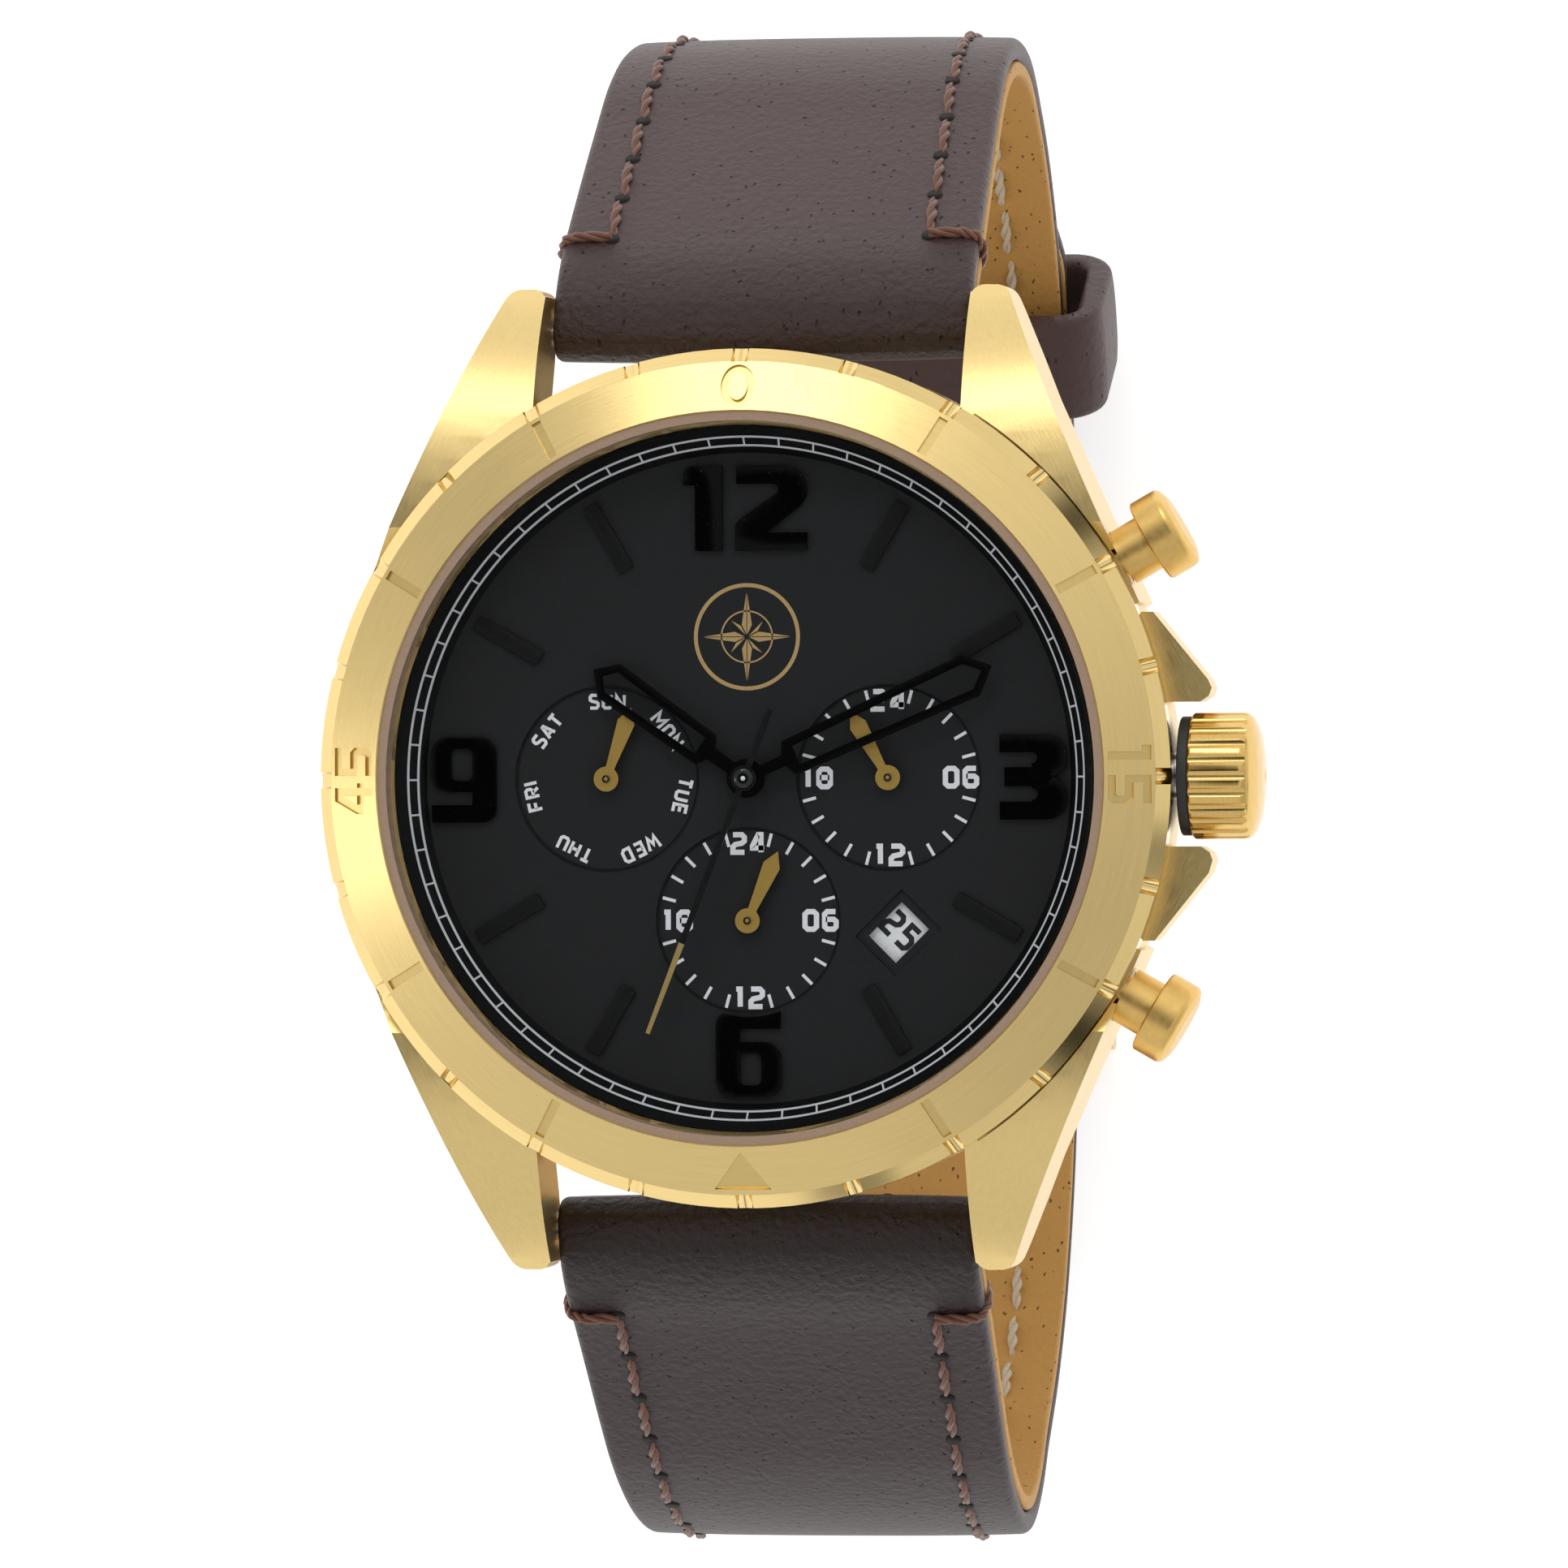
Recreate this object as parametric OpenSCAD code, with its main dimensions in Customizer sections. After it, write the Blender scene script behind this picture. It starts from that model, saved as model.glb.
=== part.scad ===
// Dress chronograph wristwatch, strap closed, standing dial up on its buckle side.
// X points to the crown, Y to twelve o'clock, Z out of the dial.

/* [Case] */
// Diameter of the bezel
bezel_d = 44; // [43.8:0.1:44.2]
// Gap between the lugs, which the strap fills
lug_gap = 22.2; // [22.1:0.1:22.3]
// Height of the bezel's outer edge over the resting plane
lift = 60.9; // [60.9:0.1:61.2]
// Tilt of the two pushers from the crown's direction
push_angle = 30; // [29:0.5:31]

/* [Movement of the hands] */
// Direction of the hour hand, clockwise from twelve
hour_at = 305.5; // [300:0.5:330]
// Direction of the minute hand, clockwise from twelve
minute_at = 66; // [0:6:354]
// Direction of the central seconds hand, clockwise from twelve
second_at = 201.2; // [0:0.2:359]
// Direction of the weekday hand, clockwise from twelve
day_at = 20; // [0:1:359]
// Direction of the right hand 24 hour hand, clockwise from twelve
right_at = 330.6; // [0:0.3:359]
// Direction of the lower 24 hour hand, clockwise from twelve
lower_at = 24.3; // [0:0.3:359]

/* [Strap] */
// Width of the strap at the lugs
strap_w = 21.9; // [21.8:0.1:22]
// Width of the strap at the buckle
strap_end_w = 20; // [19.8:0.1:20.1]
// Thickness of the strap away from the lugs
strap_t = 2.2; // [2.1:0.05:2.2]
// Thickness of the strap's lining
lining_t = 0.8; // [0.7:0.05:0.9]

/* [Hidden] */
$fn = 96;
fit = 0.03;
bezel_r = bezel_d / 2;
bezel_in = 18.73;
bezel_low = -1.4;
bezel_top = 1.82;
rim_r = 21.32;
rim_z = 0.7;
notch_r = 0.42;
neck_r = 20.4;
seat_z = 0.2;
bore_r = 18.1;
dial_z = -1.45;
dial_t = 0.4;
dial_low = dial_z - dial_t;
case_low = -7.3;
case_r = 21.9;
flank_r = 22.13;
flank_a = 23.7;
lug_in = lug_gap / 2;
lug_tip_y = 25.4;
bar_y = 23.2;
bar_z = -8.3;
crown_z = -3.3;
push_z = -2.5;
sub_r = 4.8;
sub_x = 7.3;
pin_r = 0.18;
plate_top = -3.05;
plate_low = -3.6;
bridge_top = -5.1;
bridge_low = -5.35;
buckle_y = -4.2;
buckle_z = -55.2;

// ---- helpers ----

// Lifts the dial's own frame to the resting plane's frame
module watch() translate([0, 0, lift]) children();

module ring(r_out, r_in, z0, z1) translate([0, 0, z0]) difference() {
    cylinder(r = r_out, h = z1 - z0);
    translate([0, 0, -1]) cylinder(r = r_in, h = z1 - z0 + 2);
}

module disc(r, z0, z1) translate([0, 0, z0]) cylinder(r = r, h = z1 - z0);

// A cylinder along +X from x0 to x1
module rod(r, x0, x1) translate([x0, 0, 0]) rotate([0, 90, 0]) cylinder(r = r, h = x1 - x0);

module at_clock(a) rotate([0, 0, -a]) children();

module slab(z0, z1) translate([0, 0, z0]) linear_extrude(z1 - z0) children();

// Extrudes an outline drawn in Y and Z along X, from x0 to x1
module across(x0, x1) translate([x0, 0, 0]) rotate([90, 0, 90]) linear_extrude(x1 - x0) children();

function arc(c, r, a0, a1, n = 8) = [for (i = [0 : n]) let (a = a0 + (a1 - a0) * i / n)
    [c[0] + r * cos(a), c[1] + r * sin(a)]];

function polar(r, a) = [r * cos(a), r * sin(a)];

// Point at t on the smooth curve through p[i] and p[i + 1]
function knot(p, i) = p[min(max(i, 0), len(p) - 1)];
function smooth(p, i, t) = let (a = knot(p, i - 1), b = knot(p, i), c = knot(p, i + 1), d = knot(p, i + 2))
    0.5 * (2 * b + (c - a) * t + (2 * a - 5 * b + 4 * c - d) * t * t + (3 * b - a - 3 * c + d) * t * t * t);
function curve(p, n) = [for (i = [0 : len(p) - 2]) for (k = [0 : n - 1]) smooth(p, i, k / n), p[len(p) - 1]];

// The curve moved sideways by d at each point
function unit(v) = v / norm(v);
function sideways(q, i) = let (v = unit(q[min(i + 1, len(q) - 1)] - q[max(i - 1, 0)])) [-v[1], v[0]];
function shifted(q, d) = [for (i = [0 : len(q) - 1]) q[i] + d * sideways(q, i)];
function reversed(q) = [for (i = [len(q) - 1 : -1 : 0]) q[i]];
function band(q, d0, d1) = concat(shifted(q, d0), reversed(shifted(q, d1)));

// Teeth: slim tapered teeth that leave backlash on both sides
function tooth_r(m, z, k) = m * z / 2 + m * k;
function gear_outline(m, z, a) = [for (i = [0 : z - 1]) let (p = 360 / z, c = a + i * p)
    for (s = [[-0.29, -1.15], [-0.11, 0.75], [0.11, 0.75], [0.29, -1.15]])
    polar(tooth_r(m, z, s[1]), c + s[0] * p)];

// Angle of a tooth of gear j that meshes with gear i in direction dir from i to j
function meshed(zi, ai, dir, zj) = dir + 180 - (180 - zi * (dir - ai)) / zj;

module gear(m, z, a, z0, z1) slab(z0, z1) polygon(gear_outline(m, z, a));

// ---- case ----

function lug_plan() = concat([[9, 6], [lug_in, 14], [lug_in, lug_tip_y - 0.4]],
    arc([lug_in + 0.7, lug_tip_y - 0.7], 0.7, 150, 90, 4),
    arc([12.35, lug_tip_y - 0.9], 0.9, 80, flank_a, 5),
    [flank_r * [cos(flank_a), sin(flank_a)], [16, 6]]);

function lug_side() = concat([[4, bezel_low], [11, bezel_low], [13, -0.4]],
    [for (i = [1 : 11]) let (t = i / 12)
        (1 - t) * (1 - t) * [13, -0.4] + 2 * t * (1 - t) * [20.6, -0.6] + t * t * [lug_tip_y, -6.1]],
    [[lug_tip_y, -6.1], [lug_tip_y + 0.1, -8.6]],
    arc([lug_tip_y - 0.8, -8.8], 0.7, 0, -90, 5),
    [[24, -9.4], [21.6, -8.5], [19.4, case_low], [4, case_low]]);

module lug() difference() {
    intersection() {
        slab(-12, 2) polygon(lug_plan());
        across(5, 25) polygon(lug_side());
    }
    disc(22.06, bezel_low, 3);
    translate([lug_in - 1, bar_y, bar_z]) rod(0.46, 0, 2.3);
}

// One raised shoulder beside the crown
module crown_guard(side) let (near = side > 0 ? 3.8 : 3.6)
    slab(-4.65, -1.95) polygon([[19, side * near], [23.3, side * near],
        [23.75, side * (near + 0.3)], [23.9, side * (near + 0.7)], [23.7, side * 4.95], [20.9, side * 8.4],
        [19, side * 8.4]]);

module radial(a) rotate([0, 0, a]) children();

module case_middle() color("Goldenrod") watch() difference() {
    union() {
        rotate_extrude($fn = 180) polygon([[bore_r, case_low], [20.8, case_low], [21.5, -6.7], [case_r, -5.6],
            [case_r, bezel_low], [neck_r, bezel_low], [neck_r, seat_z], [bore_r, seat_z]]);
        for (mx = [0, 1]) for (my = [0, 1]) mirror([mx, 0, 0]) mirror([0, my, 0]) lug();
        for (side = [-1, 1]) crown_guard(side);
    }
    disc(bore_r, -12, 3);
    translate([0, 0, crown_z]) rod(1.25, 16, 26);
    for (s = [-1, 1]) radial(s * push_angle) translate([0, 0, push_z]) {
        rod(1, 16, 24);
        rod(1.5, 22.1, 25);
    }
    for (i = [0 : 3]) radial(45 + 90 * i) translate([19.6, 0, -8]) cylinder(r = 0.45, h = 3);
}

function cone_z(r) = rim_z + (bezel_top - rim_z) * (rim_r - r) / (rim_r - bezel_in);

module cut_square(w, h, cut) polygon([for (c = [[1, 1, 0, 1], [1, 1, 1, 0], [1, -1, 1, 0], [1, -1, 0, 1],
    [-1, -1, 0, 1], [-1, -1, 1, 0], [-1, 1, 1, 0], [-1, 1, 0, 1]])
    [c[0] * (w / 2 - cut * c[3]), c[1] * (h / 2 - cut * c[2])]]);

function oval(w, h, n) = [for (i = [0 : n - 1]) [w / 2 * cos(360 * i / n), h / 2 * sin(360 * i / n)]];

module zero_mark() difference() {
    polygon(oval(1.76, 2.2, 48));
    polygon(oval(1.0, 1.45, 48));
}

module one_mark() polygon([[-0.55, 1.05], [0.2, 1.05], [0.2, -1.05], [-0.22, -1.05], [-0.22, 0.6],
    [-0.55, 0.6]]);

module five_mark() polygon([[0.72, 1.05], [-0.72, 1.05], [-0.72, -0.22], [0.25, -0.22], [0.33, -0.3],
    [0.33, -0.6], [0.25, -0.68], [-0.72, -0.68], [-0.72, -1.05], [0.48, -1.05], [0.72, -0.8], [0.72, -0.06],
    [0.48, 0.18], [-0.35, 0.18], [-0.35, 0.66], [0.72, 0.66]]);

module four_mark() difference() {
    polygon([[-0.12, 1.05], [0.56, 1.05], [0.56, -0.2], [0.8, -0.2], [0.8, -0.56], [0.56, -0.56],
        [0.56, -1.05], [0.16, -1.05], [0.16, -0.56], [-0.78, -0.56], [-0.78, -0.16]]);
    polygon([[0.16, 0.6], [0.16, -0.2], [-0.3, -0.2]]);
}

// What is engraved in the bezel's sloping face, as flat outlines
module bezel_marks() {
    translate([0, 20.05]) zero_mark();
    for (a = [30, 60, 120, 150, 210, 240, 300, 330])
        rotate(-a) translate([-0.25, 19]) square([0.5, 2.1]);
    rotate(-180) polygon([[-1.47, 21.0], [1.47, 21.0], [0, 19.07]]);
    rotate(-90) translate([-1.05, 20.05]) one_mark();
    rotate(-90) translate([0.65, 20.05]) five_mark();
    rotate(90) translate([-0.95, 20.05]) four_mark();
    rotate(90) translate([0.95, 20.05]) five_mark();
}

module bezel() color("Goldenrod") watch() difference() {
    rotate_extrude($fn = 240) polygon([[neck_r, bezel_low], [bezel_r - 0.1, bezel_low],
        [bezel_r, bezel_low + 0.1], [bezel_r, 0], [rim_r, rim_z], [bezel_in + 0.08, bezel_top],
        [bezel_in, bezel_top - 0.1], [bezel_in, seat_z], [neck_r, seat_z]]);
    for (i = [0 : 23]) radial(15 * i) translate([bezel_r, 0, 0]) rotate([0, 135, 0])
        cylinder(r = notch_r, h = 2, center = true, $fn = 32);
    intersection() {
        slab(0, 3) bezel_marks();
        rotate_extrude($fn = 240) polygon([[18.9, cone_z(18.9) - 0.16], [21.2, cone_z(21.2) - 0.16],
            [21.2, 3], [18.9, 3]]);
    }
}

module crystal() color("LightCyan", 0.35) watch() rotate_extrude($fn = 180)
    polygon([[0, seat_z], [18.28, seat_z], [18.28, 1.6], [18.13, 1.75], [0, 1.75]]);

module crystal_gasket() color("Tan") watch() ring(bezel_in, 18.28, seat_z, 1.7);

module rehaut_ring() color("Black") watch() rotate_extrude($fn = 180)
    polygon([[16.7, dial_z], [bore_r, dial_z], [bore_r, seat_z], [18.02, seat_z]]);

// ---- dial ----

module subdial_places() for (p = [[-sub_x, 0], [sub_x, 0], [0, -sub_x]]) translate(p) children();

module date_place() rotate([0, 0, -45]) translate([0, -0.13, 0]) translate([11.09, 0, 0]) children();

module dial() color([0.11, 0.11, 0.11]) watch() difference() {
    disc(bore_r, dial_low, dial_z);
    disc(0.68, -3, 0);
    subdial_places() {
        disc(sub_r, dial_z - 0.15, 0);
        ring(sub_r, sub_r - 0.16, dial_z - 0.22, 0);
        disc(0.3, -3, 0);
    }
    date_place() {
        slab(-3, 0) square([2.0, 2.45], center = true);
        slab(dial_z - 0.15, 0) square([2.9, 3.43], center = true);
    }
}

module digit_one() polygon(concat([[0.62, 0], [2.03, 0], [2.03, 4.35], [0.7, 4.35]],
    arc([0.5, 3.85], 0.5, 90, 180, 4), [[0, 3.37], [0.62, 3.37]]));

module digit_two() polygon(concat([[0, 0], [3.74, 0], [3.74, 0.92], [1.62, 0.92]],
    arc([2.55, 3.15], 1.2, -50, 90, 10), [[0.08, 4.35], [0.08, 3.42], [2.0, 3.42]],
    arc([1.98, 3.14], 0.28, 80, -50, 5), arc([0.6, 1.12], 0.6, 120, 180, 4)));

module digit_three() let (lobe_x = 2.42, lobe_r = 1.06) polygon(concat([[0, 0], [lobe_x, 0]],
    arc([lobe_x, lobe_r], lobe_r, -90, 0, 7), arc([2.5, 1.22], 0.98, 5, 70, 6), [[2.6, 2.18]],
    arc([2.5, 3.14], 0.98, -70, -5, 6), arc([lobe_x, 4.36 - lobe_r], lobe_r, 0, 90, 7),
    [[0, 4.36], [0, 3.44], [1.66, 3.44]], arc([1.66, 3.16], 0.28, 90, -90, 6),
    [[1.66, 2.68], [0.25, 2.68], [0.25, 1.7], [1.66, 1.7]],
    arc([1.66, 1.3], 0.3, 90, -90, 6), [[1.66, 0.92], [0, 0.92]]));

module digit_six() difference() {
    polygon(concat(arc([0.85, 0.85], 0.85, 180, 270, 6), arc([2.55, 0.85], 0.85, 270, 360, 6),
        arc([2.5, 1.94], 0.9, 0, 90, 6), [[1.25, 2.84], [1.25, 3.5], [3.36, 3.5], [3.36, 4.4]],
        arc([0.75, 3.65], 0.75, 90, 180, 6)));
    polygon(concat(arc([1.5, 0.87], 0.25, 180, 270, 4), arc([2.1, 0.87], 0.25, 270, 360, 4),
        arc([2.1, 1.98], 0.25, 0, 90, 4), arc([1.5, 1.98], 0.25, 90, 180, 4)));
}

numeral_top = dial_z + 0.28;

module applied_numerals() color([0.03, 0.03, 0.03]) watch() difference() {
    slab(dial_z, numeral_top) {
        translate([-3.25, 11.67]) digit_one();
        translate([-0.56, 11.67]) digit_two();
        translate([13.06, -2.18]) digit_three();
        translate([-13.04, 2.2]) rotate(180) digit_six();
        translate([-1.7, -16.35]) digit_six();
    }
    translate([0, -sub_x, 0]) disc(sub_r + 0.12, -3, 0);
}

module applied_markers() color([0.05, 0.05, 0.05]) watch() for (h = [1, 2, 4, 5, 7, 8, 10, 11])
    at_clock(30 * h) slab(dial_z, dial_z + 0.22) translate([-0.4, 12.4]) square([0.8, 3.8]);

// ---- case back ----

module case_back() color("Silver") watch() difference() {
    union() {
        rotate_extrude($fn = 180) polygon([[0, case_low], [20.6, case_low], [20.6, -8.1], [19.9, -8.8],
            [0, -9.0]]);
        ring(17.4, 16.6, case_low, -6.6);
    }
    for (i = [0 : 3]) radial(45 + 90 * i) translate([19.6, 0, -10]) {
        cylinder(r = 0.5, h = 4);
        cylinder(r = 0.85, h = 1.9);
    }
}

module case_back_gasket() color("DimGray") watch() ring(bore_r - 0.02, 17.45, case_low, -6.7);

module case_back_screws() color("Gainsboro") watch() for (i = [0 : 3])
    radial(45 + 90 * i) translate([19.6, 0, 0]) difference() {
        union() {
            disc(0.44, -8.1, -5.2);
            disc(0.8, -8.7, -8.1);
        }
        translate([0, 0, -8.7]) cube([0.25, 2, 0.5], center = true);
    }

// ---- crown ----

module on_crown_axis() watch() translate([0, 0, crown_z]) children();

module crown_tube() color("Silver") on_crown_axis() difference() {
    rod(1.25, 18.6, 24.2);
    rod(0.5, 18, 25);
}

module crown_gasket() color("DimGray") on_crown_axis() difference() {
    rod(1.56, 23.05, 23.5);
    rod(1.28, 22, 24);
}

module crown() color("Goldenrod") on_crown_axis() difference() {
    rotate([0, 90, 0]) rotate_extrude($fn = 120) polygon(concat([[0, 22.8], [3.1, 22.8], [3.25, 22.95],
        [3.25, 25.4]], arc([2.55, 25.4], 0.7, 8, 70, 5), [[2.2, 26.28], [1.2, 26.45], [0, 26.5]]));
    rod(1.6, 22, 25.6);
    for (i = [0 : 23]) rotate([15 * i, 0, 0]) translate([0, 0, 3.42]) rod(0.3, 22, 25.75);
}

module crown_ring() color([0.08, 0.08, 0.08]) on_crown_axis() difference() {
    rod(3.05, 22.22, 22.8);
    rod(1.6, 22, 24);
}

module crown_stem() color("Silver") on_crown_axis() difference() {
    union() {
        rod(0.45, 8.6, 24.9);
        rod(0.9, 24.9, 25.6);
    }
    difference() {
        rod(0.6, 10.92, 11.48);
        rod(0.28, 10, 12);
    }
}

// ---- pushers ----

module on_pusher(side) watch() radial(side * push_angle) translate([0, 0, push_z]) children();

module pusher_tube() difference() {
    union() {
        rod(1, 19.3, 22.3);
        rod(1.475, 22.3, 24.1);
    }
    rod(0.55, 18, 26);
    rod(1.1, 22.6, 26);
}

module pusher_tubes() color("Goldenrod") for (side = [-1, 1]) on_pusher(side) pusher_tube();

module pusher() difference() {
    union() {
        rotate([0, 90, 0]) rotate_extrude() polygon(concat(
            [[0, 23.95], [2.1, 23.95], [2.2, 24.05], [2.2, 25.3]],
            arc([1.8, 25.3], 0.4, 20, 80, 4), [[1.6, 25.8], [0, 25.8]]));
        rod(0.5, 18.9, 24.5);
    }
    difference() {
        rod(1.53, 23, 25.05);
        rod(0.5, 18, 26);
    }
    difference() {
        rod(0.7, 19.05, 19.25);
        rod(0.35, 18, 20);
    }
}

module pusher_upper() color("Goldenrod") on_pusher(1) pusher();
module pusher_lower() color("Goldenrod") on_pusher(-1) pusher();

module pusher_clip() difference() {
    rod(0.85, 19.07, 19.23);
    rod(0.38, 18, 20);
    translate([18, -0.25, 0]) cube([2, 0.5, 2]);
}

module pusher_upper_clip() color("Silver") on_pusher(1) pusher_clip();
module pusher_lower_clip() color("Silver") on_pusher(-1) pusher_clip();

// Round wire swept along a helix on the X axis
wire_sides = 6;
wire_steps = 14;
function coil_ring(r, wire, x, a) = [for (k = [0 : wire_sides - 1]) let (b = 360 * k / wire_sides)
    [x + wire * sin(b), (r + wire * cos(b)) * cos(a), (r + wire * cos(b)) * sin(a)]];
module coil_spring(r, wire, x0, x1, turns) let (n = turns * wire_steps)
    polyhedron(
        points = [for (i = [0 : n]) each coil_ring(r, wire, x0 + (x1 - x0) * i / n, 360 * turns * i / n)],
        faces = concat([[for (k = [0 : wire_sides - 1]) k]],
            [for (i = [0 : n - 1]) for (k = [0 : wire_sides - 1]) let (a = i * wire_sides,
                b = (k + 1) % wire_sides) [a + k, a + k + wire_sides, a + b + wire_sides, a + b]],
            [[for (k = [wire_sides - 1 : -1 : 0]) n * wire_sides + k]]));

module pusher_springs() color("Gainsboro") for (side = [-1, 1])
    on_pusher(side) coil_spring(0.84, 0.12, 22.74, 24.05, 3);

// ---- hands ----

module skeleton_hand(hub, neck, w_in, w_out, shoulder, tip, bar) difference() {
    let (half = asin(neck / 2 / hub))
        polygon(concat(arc([0, 0], hub, 90 + half, 450 - half, 40), [[neck / 2, 2.2], [w_in / 2, 2.5],
            [w_out / 2, shoulder], [0, tip], [-w_out / 2, shoulder], [-w_in / 2, 2.5], [-neck / 2, 2.2]]));
    polygon([[-w_in / 2 + bar, 2.9], [-w_out / 2 + bar, shoulder - 0.15], [0, tip - bar * 1.35],
        [w_out / 2 - bar, shoulder - 0.15], [w_in / 2 - bar, 2.9]]);
}

module hour_hand() color([0.04, 0.04, 0.04]) watch() at_clock(hour_at) difference() {
    slab(-0.88, -0.76) skeleton_hand(1.0, 0.7, 1.85, 2.1, 8.7, 9.7, 0.45);
    disc(0.62, -2, 0);
}

module minute_hand() color([0.04, 0.04, 0.04]) watch() at_clock(minute_at) difference() {
    slab(-0.56, -0.44) skeleton_hand(0.85, 0.6, 1.9, 2.3, 12.8, 14.0, 0.45);
    disc(0.4, -2, 0);
}

module seconds_hand() color("Goldenrod") watch() at_clock(second_at) {
    slab(-0.22, -0.12) difference() {
        polygon([[-0.16, -3.8], [0.16, -3.8], [0.15, 9.05], [0.11, 14.0], [-0.11, 14.0], [-0.15, 9.05]]);
        circle(r = 0.4);
    }
    disc(0.65, -0.3, 0.05);
}

module small_hand(a) at_clock(a) slab(-1.2, -1.08) difference() {
    union() {
        circle(r = 0.64);
        polygon([[-0.22, 0], [-0.24, 0.8], [-0.46, 3.1], [0, 3.9], [0.46, 3.1], [0.24, 0.8], [0.22, 0]]);
    }
    circle(r = pin_r);
}

module day_hand() color("DarkGoldenrod") watch() translate([-sub_x, 0, 0]) {
    small_hand(day_at);
    disc(pin_r, plate_low + 0.05, -1.0);
    gear(0.12, 14, 0, -2.45, -2.25);
}

right_teeth = 64;
hour_teeth = 32;
idler_teeth = 15;
motion_m = 0.12;
idler_reach = motion_m * (hour_teeth + idler_teeth) / 2;
right_reach = motion_m * (right_teeth + idler_teeth) / 2;
idler_x = (idler_reach * idler_reach - right_reach * right_reach + sub_x * sub_x) / (2 * sub_x);
idler_y = sqrt(idler_reach * idler_reach - idler_x * idler_x);
idler_dir = atan2(idler_y, idler_x);
right_dir = atan2(-idler_y, sub_x - idler_x);
hour_phase = 0;
idler_phase = meshed(hour_teeth, hour_phase, idler_dir, idler_teeth);
right_phase = meshed(idler_teeth, idler_phase, right_dir, right_teeth);

module right_24h_hand() color("DarkGoldenrod") watch() translate([sub_x, 0, 0]) {
    small_hand(right_at);
    disc(pin_r, plate_low + 0.05, -1.0);
    gear(motion_m, right_teeth, right_phase, -2.4, -2.2);
}

module lower_24h_hand() color("DarkGoldenrod") watch() translate([0, -sub_x, 0]) {
    small_hand(lower_at);
    disc(pin_r, plate_low + 0.05, -1.0);
    gear(0.12, 24, 0, -2.45, -2.25);
}

// ---- motion works under the dial ----

minute_dir = 180;
minute_reach = 2.4;
cannon_teeth = 10;
minute_teeth = 30;
minute_pinion_teeth = 8;
cannon_phase = 0;
minute_phase = meshed(cannon_teeth, cannon_phase, minute_dir, minute_teeth);
minute_pinion_phase = meshed(hour_teeth, hour_phase, minute_dir, minute_pinion_teeth);

module bored(r, z0, z1) difference() {
    children();
    disc(r, z0 - 1, z1 + 1);
}

module hour_wheel() color("Khaki") watch() bored(0.44, -2.4, -0.7) {
    gear(motion_m, hour_teeth, hour_phase, -2.4, -2.2);
    disc(0.62, -2.4, -0.72);
}

module cannon_pinion() color("Silver") watch() bored(0.26, -2.9, -0.4) {
    gear(motion_m, cannon_teeth, cannon_phase, -2.95, -2.5);
    disc(0.4, -2.5, -0.4);
}

module minute_wheel() color("Khaki") watch() translate([-minute_reach, 0, 0]) bored(0.2 + fit, -2.9, -2) {
    gear(motion_m, minute_teeth, minute_phase, -2.9, -2.65);
    gear(motion_m, minute_pinion_teeth, minute_pinion_phase, -2.65, -2.1);
}

module idler_wheel() color("Khaki") watch() translate([idler_x, idler_y, 0]) bored(0.2 + fit, -2.5, -2)
    gear(motion_m, idler_teeth, idler_phase, -2.45, -2.15);

module date_disc() color("White") watch() ring(12.5, 9.5, -2.1, -1.92);

// ---- going train behind the main plate ----

train_m = 0.09;
second_m = 0.085;
third_dir = 270;
third_reach = 3.06;
inter_dir = 90;
seconds_m = 0.125;
inter_reach = 3.0;
rotor_reach = 1.89;
seconds_teeth = 40;
seconds_pinion = 8;
third_teeth = 60;
third_pinion = 8;
center_teeth = 64;
inter_teeth = 36;
inter_pinion = 8;
rotor_teeth = 6;
third_phase = meshed(seconds_pinion, 0, third_dir, third_teeth);
center_phase = meshed(third_pinion, 0, third_dir + 180, center_teeth);
inter_pinion_phase = meshed(seconds_teeth, 0, inter_dir, inter_pinion);
rotor_phase = meshed(inter_teeth, 0, inter_dir, rotor_teeth);

module seconds_wheel() color("Khaki") watch() {
    disc(0.1, -5.3, -0.3);
    gear(seconds_m, seconds_teeth, 0, -5.0, -4.88);
    gear(train_m, seconds_pinion, 0, -4.8, -4.35);
    disc(0.25, -5.0, -4.35);
}

module third_wheel() color("Khaki") watch() translate([0, -third_reach, 0]) {
    disc(0.12, -5.3, plate_low + 0.4);
    gear(train_m, third_teeth, third_phase, -4.68, -4.52);
    gear(second_m, third_pinion, 0, -4.52, -3.8);
}

module center_wheel() color("Khaki") watch() bored(0.13, -4.1, -1) {
    gear(second_m, center_teeth, center_phase, -4.08, -3.92);
    disc(0.24, -4.08, -1.2);
}

module intermediate_wheel() color("Khaki") watch() translate([0, inter_reach, 0]) {
    disc(0.12, -5.3, plate_low + 0.4);
    gear(train_m, inter_teeth, 0, -4.66, -4.52);
    gear(seconds_m, inter_pinion, inter_pinion_phase, -5.05, -4.66);
}

module rotor() color("SlateGray") watch() translate([0, inter_reach + rotor_reach, 0]) {
    disc(0.1, -5.3, plate_low + 0.4);
    gear(train_m, rotor_teeth, rotor_phase, -4.8, -4.45);
    disc(0.6, -4.4, -3.85);
}

module pivots(z0, z1) {
    for (p = [[0, -third_reach], [0, inter_reach]]) translate(p) disc(0.12 + fit, z0, z1);
    translate([0, inter_reach + rotor_reach]) disc(0.1 + fit, z0, z1);
    disc(0.27, z0, z1);
}

battery_at = [-7.3, 4.2, 0];
lever_at = [11.2, -4.6, 0];
post_places = [[5.0, -1.6], [-2.6, -6.6], [3.2, 7.0]];

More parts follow.
